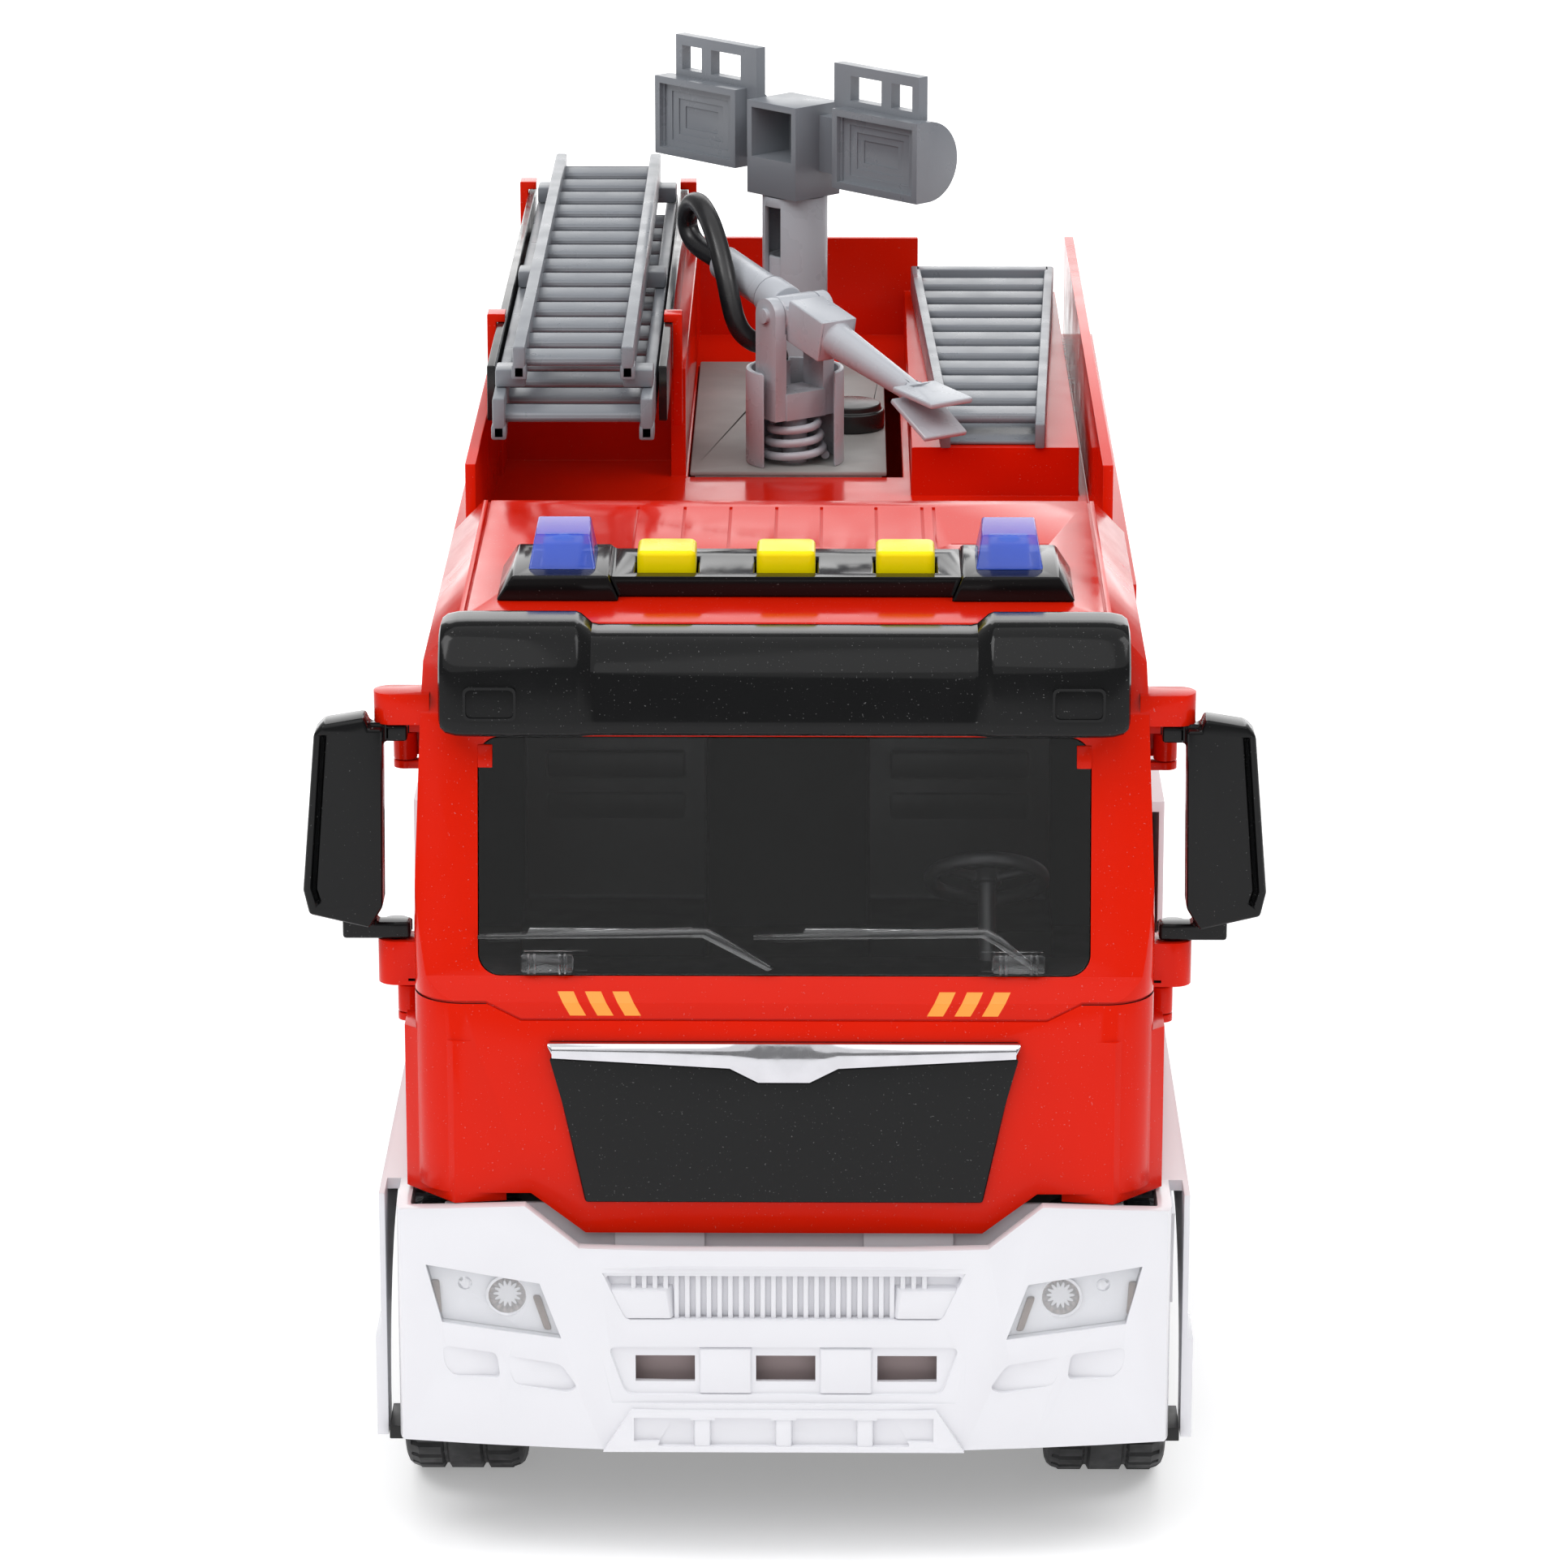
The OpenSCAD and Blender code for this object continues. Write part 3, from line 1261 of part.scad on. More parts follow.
chassis_base();
lower_shell();
front_bumper();
on_side(-1) headlight_lens();  // headlight_lens_left
on_side(1) headlight_lens();  // headlight_lens_right
on_side(-1) headlight_reflector();  // headlight_reflector_left
on_side(1) headlight_reflector();  // headlight_reflector_right
at_axle(front_axle_y) axle();  // front_axle
at_axle(rear_axle_y) axle();  // rear_axle
at_axle(front_axle_y) on_side(-1) hub();  // hub_front_left
at_axle(front_axle_y) on_side(1) hub();  // hub_front_right
at_axle(rear_axle_y) on_side(-1) hub();  // hub_rear_left
at_axle(rear_axle_y) on_side(1) hub();  // hub_rear_right
at_axle(front_axle_y) on_side(-1) tyre();  // tyre_front_left
at_axle(front_axle_y) on_side(1) tyre();  // tyre_front_right
at_axle(rear_axle_y) on_side(-1) tyre();  // tyre_rear_left
at_axle(rear_axle_y) on_side(1) tyre();  // tyre_rear_right
gearbox_frame();
drive_gear();
idler_gear();
flywheel();
battery_door();
chassis_screws();
speaker();
cab_shell();
grille_panel();
grille_trim();
visor();
windscreen();
cab_interior();
steering_wheel();
on_side(-1) door();  // door_left
on_side(1) door();  // door_right
on_side(-1) door_window();  // door_window_left
on_side(1) door_window();  // door_window_right
on_side(-1) mirror_unit();  // mirror_left
on_side(1) mirror_unit();  // mirror_right
light_bar();
on_side(-1) beacon();  // beacon_left
on_side(1) beacon();  // beacon_right
button(-1);  // button_left
button(0);  // button_centre
button(1);  // button_right
switch_board();
body_shell();
tank_cover();
water_tank();
filler_cap();
pump_tower();
pump_spring();
pump_fork();
nozzle();
hose();
ladder_cradle();
lower_ladder();
upper_ladder();
equipment_rack();
mast_tube();
mast_post();
lamp_head();
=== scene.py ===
"""Looks of the toy fire engine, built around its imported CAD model. Metres, +Z up, front towards -Y."""
import json
import math

import bmesh
import bpy
import numpy as np
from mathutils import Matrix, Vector

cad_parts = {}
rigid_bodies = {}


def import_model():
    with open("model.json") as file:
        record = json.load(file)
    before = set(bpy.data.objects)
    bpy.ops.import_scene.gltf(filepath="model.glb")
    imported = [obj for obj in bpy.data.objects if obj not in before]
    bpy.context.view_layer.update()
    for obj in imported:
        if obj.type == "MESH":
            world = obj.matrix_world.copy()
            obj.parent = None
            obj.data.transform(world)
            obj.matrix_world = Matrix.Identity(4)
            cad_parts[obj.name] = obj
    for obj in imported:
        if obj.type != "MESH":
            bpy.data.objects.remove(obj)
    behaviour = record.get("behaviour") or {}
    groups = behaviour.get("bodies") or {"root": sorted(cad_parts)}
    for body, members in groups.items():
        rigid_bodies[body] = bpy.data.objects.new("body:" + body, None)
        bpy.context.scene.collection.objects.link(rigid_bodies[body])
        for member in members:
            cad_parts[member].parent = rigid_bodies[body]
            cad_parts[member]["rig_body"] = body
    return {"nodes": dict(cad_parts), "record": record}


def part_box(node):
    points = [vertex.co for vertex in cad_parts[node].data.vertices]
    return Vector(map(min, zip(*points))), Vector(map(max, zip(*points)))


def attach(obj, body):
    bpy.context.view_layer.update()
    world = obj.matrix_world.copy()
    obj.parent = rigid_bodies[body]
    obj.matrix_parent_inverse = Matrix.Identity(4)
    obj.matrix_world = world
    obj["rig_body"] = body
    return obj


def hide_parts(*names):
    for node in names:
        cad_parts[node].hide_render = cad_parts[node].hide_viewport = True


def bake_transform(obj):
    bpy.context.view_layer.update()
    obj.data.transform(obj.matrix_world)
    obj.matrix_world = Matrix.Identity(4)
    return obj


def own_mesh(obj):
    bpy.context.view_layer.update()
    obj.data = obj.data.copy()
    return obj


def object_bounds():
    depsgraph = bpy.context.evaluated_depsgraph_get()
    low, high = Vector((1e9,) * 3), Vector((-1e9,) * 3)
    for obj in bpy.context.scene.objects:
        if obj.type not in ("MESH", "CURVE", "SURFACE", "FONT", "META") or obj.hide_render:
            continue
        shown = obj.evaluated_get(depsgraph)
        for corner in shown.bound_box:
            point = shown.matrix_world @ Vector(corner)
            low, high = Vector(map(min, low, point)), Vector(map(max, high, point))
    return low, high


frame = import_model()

CAD_BOX = [list(corner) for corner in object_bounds()]
MM = 0.001
SHADED_TOGETHER = math.radians(26)
NODES = frame["nodes"]

bl_info = {
    "name": "Toy fire engine",
    "version": (1, 0, 0),
    "blender": (4, 5, 0),
    "location": "3D View > Sidebar > Fire engine",
    "description": "Builds the visible pieces of a toy fire engine around its CAD model",
    "category": "Object",
}


# ------------------------------------------------------------------ settings

class EngineSettings(bpy.types.PropertyGroup):
    """Sizes and colours of the visible pieces."""

    edge: bpy.props.FloatProperty(
        name="Edge radius", description="Rounding of moulded edges", default=0.0003, unit="LENGTH")
    red: bpy.props.FloatVectorProperty(
        name="Red", description="Colour of the red mouldings", default=(0.66, 0.012, 0.0015),
        subtype="COLOR")
    white: bpy.props.FloatVectorProperty(
        name="White", description="Colour of the white mouldings", default=(0.74, 0.74, 0.775),
        subtype="COLOR")
    grey: bpy.props.FloatVectorProperty(
        name="Grey", description="Colour of the ladders and the lamp head", default=(0.2, 0.215, 0.24),
        subtype="COLOR")
    silver: bpy.props.FloatVectorProperty(
        name="Light grey", description="Colour of the monitor and the mast", default=(0.47, 0.49, 0.53),
        subtype="COLOR")
    yellow: bpy.props.FloatVectorProperty(
        name="Yellow", description="Colour of the push buttons", default=(1.0, 0.8, 0.0), subtype="COLOR")
    blue: bpy.props.FloatVectorProperty(
        name="Blue", description="Tint of the beacons", default=(0.02, 0.1, 0.75), subtype="COLOR")


def settings():
    """The settings stored on the scene."""
    return bpy.context.scene.fire_engine


# ------------------------------------------------------------------ materials

def new_material(name):
    """An empty node material: returns it with its node tree and its Principled shader."""
    material = bpy.data.materials.new(name)
    material.use_nodes = True
    tree = material.node_tree
    return material, tree, tree.nodes["Principled BSDF"]


def noise(tree, scale, detail=2.0):
    """Noise over Object coordinates; scale is in cycles per metre."""
    coords = tree.nodes.new("ShaderNodeTexCoord")
    texture = tree.nodes.new("ShaderNodeTexNoise")
    texture.inputs["Scale"].default_value = scale
    texture.inputs["Detail"].default_value = detail
    tree.links.new(coords.outputs["Object"], texture.inputs["Vector"])
    return texture.outputs["Fac"]


def ramp(tree, value, low, high, first, second):
    """Maps value from low..high to first..second, clamped; first and second are numbers."""
    node = tree.nodes.new("ShaderNodeMapRange")
    node.inputs["From Min"].default_value = low
    node.inputs["From Max"].default_value = high
    node.inputs["To Min"].default_value = first
    node.inputs["To Max"].default_value = second
    tree.links.new(value, node.inputs["Value"])
    return node.outputs["Result"]


def blend_colours(tree, share, first, second):
    """Colour between first and second by share."""
    node = tree.nodes.new("ShaderNodeMix")
    node.data_type = "RGBA"
    node.inputs["A"].default_value = (*first, 1)
    node.inputs["B"].default_value = (*second, 1)
    tree.links.new(share, node.inputs["Factor"])
    return node.outputs["Result"]


def bump(tree, shader, height, strength, distance):
    """Feeds a height to the shader's normal; distance is in metres."""
    node = tree.nodes.new("ShaderNodeBump")
    node.inputs["Strength"].default_value = strength
    node.inputs["Distance"].default_value = distance
    tree.links.new(height, node.inputs["Height"])
    tree.links.new(node.outputs["Normal"], shader.inputs["Normal"])


def shade(colour, factor):
    """The colour made lighter or darker."""
    return tuple(min(1.0, c * factor) for c in colour)


def moulded_plastic(name, colour, gloss=(0.16, 0.3), grain=0.04, dust=0.0, specular=0.5):
    """Injection-moulded plastic: faint colour drift, smudged gloss, fine grain and a little dust."""
    material, tree, shader = new_material(name)
    drift = ramp(tree, noise(tree, 45, 3), 0.3, 0.7, 0.0, 1.0)
    colours = blend_colours(tree, drift, shade(colour, 0.985), shade(colour, 1.01))
    smudge = ramp(tree, noise(tree, 120, 4), 0.35, 0.7, gloss[0], gloss[1])
    if dust:
        specks = ramp(tree, noise(tree, 2600, 1), 0.72, 0.78, 0.0, dust)
        mix = tree.nodes.new("ShaderNodeMix")
        mix.data_type = "RGBA"
        mix.inputs["B"].default_value = (0.42, 0.42, 0.42, 1)
        tree.links.new(specks, mix.inputs["Factor"])
        tree.links.new(colours, mix.inputs["A"])
        colours = mix.outputs["Result"]
    tree.links.new(colours, shader.inputs["Base Color"])
    tree.links.new(smudge, shader.inputs["Roughness"])
    shader.inputs["Specular IOR Level"].default_value = specular
    bump(tree, shader, noise(tree, 700, 3), grain, 0.05 * MM)
    return material


def clear_plastic(name, colour, roughness=0.03, grain=0.02, ior=1.49):
    """Transparent plastic with faint flow marks."""
    material, tree, shader = new_material(name)
    drift = ramp(tree, noise(tree, 60, 2), 0.3, 0.7, 0.0, 1.0)
    tree.links.new(blend_colours(tree, drift, shade(colour, 0.96), colour), shader.inputs["Base Color"])
    tree.links.new(ramp(tree, noise(tree, 150, 3), 0.3, 0.7, roughness, roughness + 0.03),
                   shader.inputs["Roughness"])
    shader.inputs["Transmission Weight"].default_value = 1.0
    shader.inputs["IOR"].default_value = ior
    bump(tree, shader, noise(tree, 90, 2), grain, 0.2 * MM)
    return material


def tinted_plastic(name, colour, cover):
    """Thin tinted plastic that lets light straight through: cover is the share that it stops."""
    material, tree, shader = new_material(name)
    drift = ramp(tree, noise(tree, 80, 2), 0.3, 0.7, 0.0, 1.0)
    tree.links.new(blend_colours(tree, drift, shade(colour, 0.9), colour), shader.inputs["Base Color"])
    tree.links.new(ramp(tree, noise(tree, 150, 3), 0.3, 0.7, 0.05, 0.1), shader.inputs["Roughness"])
    shader.inputs["Alpha"].default_value = cover
    shader.inputs["Specular IOR Level"].default_value = 0.8
    bump(tree, shader, noise(tree, 90, 2), 0.03, 0.2 * MM)
    return material


def plated_metal(name, colour, roughness=0.06):
    """Bright plating or bare steel with fine wear."""
    material, tree, shader = new_material(name)
    drift = ramp(tree, noise(tree, 200, 3), 0.3, 0.7, 0.0, 1.0)
    tree.links.new(blend_colours(tree, drift, shade(colour, 0.9), colour), shader.inputs["Base Color"])
    tree.links.new(ramp(tree, noise(tree, 500, 3), 0.35, 0.75, roughness, roughness + 0.12),
                   shader.inputs["Roughness"])
    shader.inputs["Metallic"].default_value = 1.0
    bump(tree, shader, noise(tree, 900, 2), 0.04, 0.03 * MM)
    return material


def rubber(name, colour, roughness=(0.5, 0.75)):
    """Soft matt rubber with a fine grain and a dusty bloom."""
    material, tree, shader = new_material(name)
    bloom = ramp(tree, noise(tree, 160, 4), 0.4, 0.75, 0.0, 1.0)
    tree.links.new(blend_colours(tree, bloom, colour, shade(colour, 2.2)), shader.inputs["Base Color"])
    tree.links.new(ramp(tree, noise(tree, 300, 2), 0.3, 0.7, *roughness), shader.inputs["Roughness"])
    bump(tree, shader, noise(tree, 2200, 2), 0.25, 0.05 * MM)
    return material


def make_materials():
    """Every finish of the toy, by the record's slot name."""
    chosen = settings()
    return {
        "red_plastic": moulded_plastic("red_moulding", chosen.red, (0.12, 0.22), 0.03, 0.2, 0.12),
        "white_plastic": moulded_plastic("white_moulding", chosen.white, (0.2, 0.23), 0.02, 0, 0.5),
        "gloss_black": moulded_plastic(
            "gloss_black_moulding", (0.006, 0.0062, 0.0066), (0.1, 0.18), 0.02, 0.2, 0.2),
        "interior_black": moulded_plastic(
            "interior_moulding", (0.006, 0.006, 0.0065), (0.3, 0.45), 0.15, 0, 0.3),
        "wheel_grey": moulded_plastic("steering_wheel_grey", (0.03, 0.03, 0.032), (0.35, 0.5), 0.2),
        "black_base": moulded_plastic("chassis_black", (0.008, 0.008, 0.008), (0.4, 0.55), 0.25, 0, 0.35),
        "speaker_black": moulded_plastic("speaker_cone", (0.03, 0.03, 0.035), (0.5, 0.65), 0.3),
        "silver_plastic": moulded_plastic("rim_silver", (0.48, 0.49, 0.52), (0.25, 0.36), 0.05),
        "grey_plastic": moulded_plastic("ladder_grey", chosen.grey, (0.26, 0.4), 0.08),
        "light_grey_plastic": moulded_plastic("monitor_grey", chosen.silver, (0.24, 0.38), 0.06),
        "dark_grey_plate": moulded_plastic("cover_grey", (0.3, 0.3, 0.29), (0.5, 0.7), 0.35, 0.3),
        "cap_black": moulded_plastic("cap_black", (0.012, 0.012, 0.012), (0.25, 0.4), 0.1),
        "cradle_black": moulded_plastic("cradle_black", (0.012, 0.012, 0.013), (0.14, 0.26), 0.05),
        "tank_white": moulded_plastic("tank_natural", (0.6, 0.62, 0.62), (0.35, 0.5), 0.1),
        "nylon": moulded_plastic("gear_natural", (0.62, 0.6, 0.52), (0.35, 0.5), 0.1),
        "board_green": moulded_plastic("board_green", (0.01, 0.12, 0.05), (0.3, 0.45), 0.1),
        "yellow_plastic": moulded_plastic("button_yellow", chosen.yellow, (0.2, 0.32), 0.04, 0, 0.15),
        "clear_plastic": clear_plastic("clear_moulding", (0.98, 0.99, 1.0)),
        "blue_clear": tinted_plastic("beacon_blue", chosen.blue, 0.62),
        "lens_clear": tinted_plastic("lens_clear", (0.9, 0.92, 0.95), 0.2),
        "chrome_trim": plated_metal("chrome_plating", (0.62, 0.62, 0.65)),
        "lamp_bronze": plated_metal("lamp_bronze", (0.2, 0.16, 0.14), 0.3),
        # Painted shade: a brownish grey that stands in for the shaded inside of the bumper seen through its
        # slots.
        "slot_painted_shade": moulded_plastic("slot_painted_shade", (0.42, 0.34, 0.34), (0.5, 0.6), 0.1, 0, 0.1),
        "steel": plated_metal("bare_steel", (0.55, 0.55, 0.57), 0.25),
        "tyre_rubber": rubber("tyre_rubber", (0.012, 0.012, 0.013)),
        "orange_print": moulded_plastic("orange_print", (0.95, 0.32, 0.03), (0.3, 0.45), 0.03),
        "beacon_lamp": moulded_plastic("beacon_lamp", (0.03, 0.22, 0.75), (0.2, 0.35), 0.05),
        "hose_rubber": rubber("hose_rubber", (0.006, 0.006, 0.007), (0.25, 0.4)),
    }


MATERIALS = {}


# ------------------------------------------------------------------ shapes
# A shape is (points in millimetres, faces); pieces are made of one or more closed shapes.

def loft(rings, caps=True):
    """Skin through closed rings: point j of ring i joins point j of ring i + 1; caps close both ends."""
    rings = np.asarray(rings, float)
    count, around = rings.shape[:2]
    index = np.arange(count * around).reshape(count, around)
    step = np.roll(index, -1, axis=1)
    faces = np.stack([index[:-1], step[:-1], step[1:], index[1:]], -1).reshape(-1, 4).tolist()
    if caps:
        faces += [index[0][::-1].tolist(), index[-1].tolist()]
    return rings.reshape(-1, 3), faces


def across(outline, axis, position):
    """A flat outline (n, 2) set across an axis; its two coordinates keep the order x, y, z."""
    outline = np.asarray(outline, float)
    return np.insert(outline, "xyz".index(axis), position, axis=1)


def prism(outline, axis, start, end):
    """The outline pushed along an axis from start to end."""
    return loft([across(outline, axis, start), across(outline, axis, end)])


def frustum(first, second, axis, start, end):
    """A prism whose outline changes from first to second, point by point."""
    return loft([across(first, axis, start), across(second, axis, end)])


def block(low, high):
    """A box between two corners."""
    outline = [(low[0], low[1]), (high[0], low[1]), (high[0], high[1]), (low[0], high[1])]
    return prism(outline, "z", low[2], high[2])


def rectangle(x0, z0, x1, z1):
    """Four corners in order."""
    return [(x0, z0), (x1, z0), (x1, z1), (x0, z1)]


def rounded(corners, radius, steps=5):
    """Each corner c becomes the arc (1-t)^2 a + 2t(1-t) c + t^2 b; a and b lie at radius on its edges."""
    corners = np.asarray(corners, float)
    before = np.roll(corners, 1, axis=0) - corners
    after = np.roll(corners, -1, axis=0) - corners
    length_before = np.linalg.norm(before, axis=1, keepdims=True)
    length_after = np.linalg.norm(after, axis=1, keepdims=True)
    a = corners + before / length_before * np.minimum(radius, 0.45 * length_before)
    b = corners + after / length_after * np.minimum(radius, 0.45 * length_after)
    t = np.linspace(0, 1, steps)[None, :, None]
    arcs = (1 - t) ** 2 * a[:, None] + 2 * t * (1 - t) * corners[:, None] + t ** 2 * b[:, None]
    return arcs.reshape(-1, 2)


def frame_ring(corners, radius, width, axis, start, end):
    """A flat frame: the rounded outline, less the same outline drawn in by width."""
    outer = rounded(corners, radius)
    centre = outer.mean(axis=0)
    reach = np.abs(outer - centre).max(axis=0)
    inner = centre + (outer - centre) * (reach - width) / reach
    rings = [across(outer, axis, start), across(outer, axis, end),
             across(inner, axis, end), across(inner, axis, start), across(outer, axis, start)]
    return loft(rings, caps=False)


def tube(path, radius, around=20, up=(0, 0, 1)):
    """Round tube: ring i is path[i] + radius (cos a . side + sin a . lift), side = direction x up."""
    path = np.asarray(path, float)
    direction = np.gradient(path, axis=0)
    direction /= np.linalg.norm(direction, axis=1, keepdims=True)
    side = np.cross(direction, up)
    side /= np.linalg.norm(side, axis=1, keepdims=True)
    lift = np.cross(side, direction)
    angle = np.linspace(0, 2 * np.pi, around, endpoint=False)[None, :, None]
    radius = np.broadcast_to(radius, len(path))[:, None, None]
    return loft(path[:, None] + radius * (np.cos(angle) * side[:, None] + np.sin(angle) * lift[:, None]))


def spun(profile, axis_point, axis="x", around=64):
    """A closed profile of (distance along the axis, radius) carried once around the axis."""
    profile = np.asarray(profile, float)
    angle = np.linspace(0, 2 * np.pi, around, endpoint=False)[:, None]
    along = np.broadcast_to(profile[:, 0], (around, len(profile)))
    first = profile[:, 1] * np.cos(angle)
    second = profile[:, 1] * np.sin(angle)
    order = {"x": (along, first, second), "y": (second, along, first), "z": (first, second, along)}[axis]
    rings = np.stack(order, -1) + np.asarray(axis_point, float)
    return loft(np.concatenate([rings, rings[:1]]), caps=False)


def turned(shape, degrees, centre):
    """The shape turned about the vertical through centre."""
    angle = math.radians(degrees)
    points = shape[0] - np.array([*centre, 0])
    x = points[:, 0] * math.cos(angle) - points[:, 1] * math.sin(angle)
    y = points[:, 0] * math.sin(angle) + points[:, 1] * math.cos(angle)
    return np.stack([x, y, points[:, 2]], -1) + np.array([*centre, 0]), shape[1]


def mirrored(shape):
    """The shape on the other side of the middle plane."""
    return shape[0] * np.array([-1, 1, 1]), [face[::-1] for face in shape[1]]


def both_sides(shape):
    """The shape and its mirror image."""
    return [shape, mirrored(shape)]


# ------------------------------------------------------------------ pieces

def low(node):
    """Lowest corner of a CAD node in millimetres."""
    return np.array(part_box(node)[0]) / MM


def high(node):
    """Highest corner of a CAD node in millimetres."""
    return np.array(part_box(node)[1]) / MM


def slot_of(node):
    """The record's material slot of a CAD node."""
    for part in frame["record"]["subparts"]:
        if part["node"] == node:
            return part["material_slot"]
    raise RuntimeError(f"no slot for {node}")


def new_object(name, shapes):
    """One mesh object from shapes, doubles merged and every shell facing outwards."""
    points = []
    faces = []
    count = 0
    for shape_points, shape_faces in shapes:
        points.append(shape_points)
        faces += [[index + count for index in face] for face in shape_faces]
        count += len(shape_points)
    mesh = bpy.data.meshes.new(name)
    mesh.from_pydata((np.concatenate(points) * MM).tolist(), [], faces)
    work = bmesh.new()
    work.from_mesh(mesh)
    bmesh.ops.remove_doubles(work, verts=work.verts, dist=1e-7)
    bmesh.ops.recalc_face_normals(work, faces=work.faces)
    work.to_mesh(mesh)
    work.free()
    obj = bpy.data.objects.new(name, mesh)
    bpy.context.scene.collection.objects.link(obj)
    return obj


# Nodes whose flat faces have holes: their triangles are kept, and their edges are rounded with clamping.
PIERCED = (
    "body_shell", "lower_shell", "lamp_head", "pump_tower", "pump_fork", "tank_cover", "chassis_base",
    "gearbox_frame", "cab_interior", "water_tank", "mast_post", "ladder_cradle", "door_left", "door_right",
)


def merged_copy(node, name):
    """The CAD node's surface as one welded mesh, with whole flat faces unless it is pierced."""
    mesh = NODES[node].data.copy()
    mesh.name = name
    mesh.materials.clear()
    if "custom_normal" in mesh.attributes:
        mesh.attributes.remove(mesh.attributes["custom_normal"])
    work = bmesh.new()
    work.from_mesh(mesh)
    bmesh.ops.remove_doubles(work, verts=work.verts, dist=2e-6)
    if node not in PIERCED:
        bmesh.ops.dissolve_limit(work, angle_limit=math.radians(1), verts=work.verts, edges=work.edges)
    work.to_mesh(mesh)
    work.free()
    obj = bpy.data.objects.new(name, mesh)
    bpy.context.scene.collection.objects.link(obj)
    return obj


def carve(obj, shapes):
    """Takes the shapes out of the piece."""
    cutter = new_object(obj.name + "_cutter", shapes)
    modifier = obj.modifiers.new("carve", "BOOLEAN")
    modifier.operation = "DIFFERENCE"
    modifier.solver = "EXACT"
    modifier.use_self = True
    modifier.object = cutter
    bpy.context.view_layer.update()
    result = bpy.data.meshes.new_from_object(obj.evaluated_get(bpy.context.evaluated_depsgraph_get()))
    if len(result.polygons) < 4:
        raise RuntimeError(f"carving {obj.name} left nothing")
    obj.modifiers.clear()
    obj.data = result
    bpy.data.objects.remove(cutter)
    return obj


def finish_edges(obj, width=None, segments=2, angle=28, clamp=False):
    """Rounds the edges sharper than angle by width in millimetres, then shades flat faces flat.

    Only neighbours that turn less than SHADED_TOGETHER share their shading, so a flat face
    beside a rounded edge stays even all over.
    """
    width = settings().edge if width is None else width * MM
    if width > 0:
        modifier = obj.modifiers.new("rounded_edges", "BEVEL")
        modifier.width = width
        modifier.segments = segments
        modifier.limit_method = "ANGLE"
        modifier.angle_limit = math.radians(angle)
        modifier.use_clamp_overlap = clamp
        bpy.context.view_layer.update()
        source = obj.evaluated_get(bpy.context.evaluated_depsgraph_get())
        rounded_mesh = bpy.data.meshes.new_from_object(source)
        obj.modifiers.clear()
        obj.data = rounded_mesh
    obj.data.shade_smooth()
    obj.data.set_sharp_from_angle(angle=SHADED_TOGETHER)
    return obj


def place_piece(obj, node, finish=None, replaces=True):
    """Gives a piece its finish, lets it ride where its CAD node rides, and hides that node."""
    finish = finish or slot_of(node)
    if not obj.data.materials:
        obj.data.materials.append(MATERIALS[finish])
    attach(obj, NODES[node]["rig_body"])
    if replaces:
        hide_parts(node)
    return obj


def piece(name, shapes, node, finish=None, replaces=True, width=None, segments=2, angle=28):
    """A finished piece made of shapes."""
    obj = finish_edges(new_object(name, shapes), width, segments, angle)
    return place_piece(obj, node, finish, replaces)


def moulding(node, width=None, segments=2, angle=28, cuts=(), finish=None):
    """A finished piece with the CAD node's shape, less the cuts."""
    obj = merged_copy(node, node + "_moulding")
    if cuts:
        carve(obj, list(cuts))
    return place_piece(finish_edges(obj, width, segments, angle, node in PIERCED), node, finish)


def paint_shade_inside(obj, slot, lowest, highest):
    """Painted shade: gives the faces that lie in the box and face its middle the finish of another slot, a
    dark finish on the inner faces of a hollow moulding.
    """
    obj.data.materials.append(MATERIALS[slot])
    count = len(obj.data.polygons)
    centres = np.zeros(count * 3)
    normals = np.zeros(count * 3)
    obj.data.polygons.foreach_get("center", centres)
    obj.data.polygons.foreach_get("normal", normals)
    centres = centres.reshape(-1, 3) / MM
    middle = (np.array(lowest) + np.array(highest)) / 2
    facing_in = ((centres - middle) * normals.reshape(-1, 3)).sum(axis=1) < 0
    inside = np.all((centres > lowest) & (centres < highest), axis=1) & facing_in
    obj.data.polygons.foreach_set("material_index", inside.astype(np.int32))


# ------------------------------------------------------------------ layout in millimetres

FRONT = low("front_bumper")[1]
CAB_FRONT = FRONT + 7
CAB_BACK = high("cab_shell")[1]
ROOF = 167.0
SCREEN_FOOT = (CAB_FRONT + 3, 108.0)
SCREEN_LEAN = math.radians(12)
BAR_Y = -118.0
LADDER_X = -41.5
TOWER = (0.5, 44.5)
TOWER_TURN = 36.0
MAST = (0.0, 122.0)
MAST_TURN = -46.0


def bow(x):
    """Bumper front at x: a circle of radius 400 that touches the foremost plane."""
    return FRONT + 400 - np.sqrt(400 ** 2 - np.asarray(x, float) ** 2)


def cab_face(z):
    """Front of the cab at height z: upright to 104, then leaning back to the foot of the windscreen."""
    return np.interp(z, [50, 104, 108, 153, 167], CAB_FRONT + np.array([0, 0, 3, 12.5, 22]))


def on_screen(shape):
    """A shape drawn as (x, height above the screen, distance up the screen), laid on the screen."""
    x, out, up = shape[0].T
    y = SCREEN_FOOT[0] + up * math.sin(SCREEN_LEAN) - out * math.cos(SCREEN_LEAN)
    z = SCREEN_FOOT[1] + up * math.cos(SCREEN_LEAN) + out * math.sin(SCREEN_LEAN)
    return np.stack([x, y, z], -1), shape[1]


# ------------------------------------------------------------------ operators

class PieceOperator:
    """What every piece operator shares."""

    bl_options = {"REGISTER", "UNDO"}

    def execute(self, context):
        self.build()
        return {"FINISHED"}


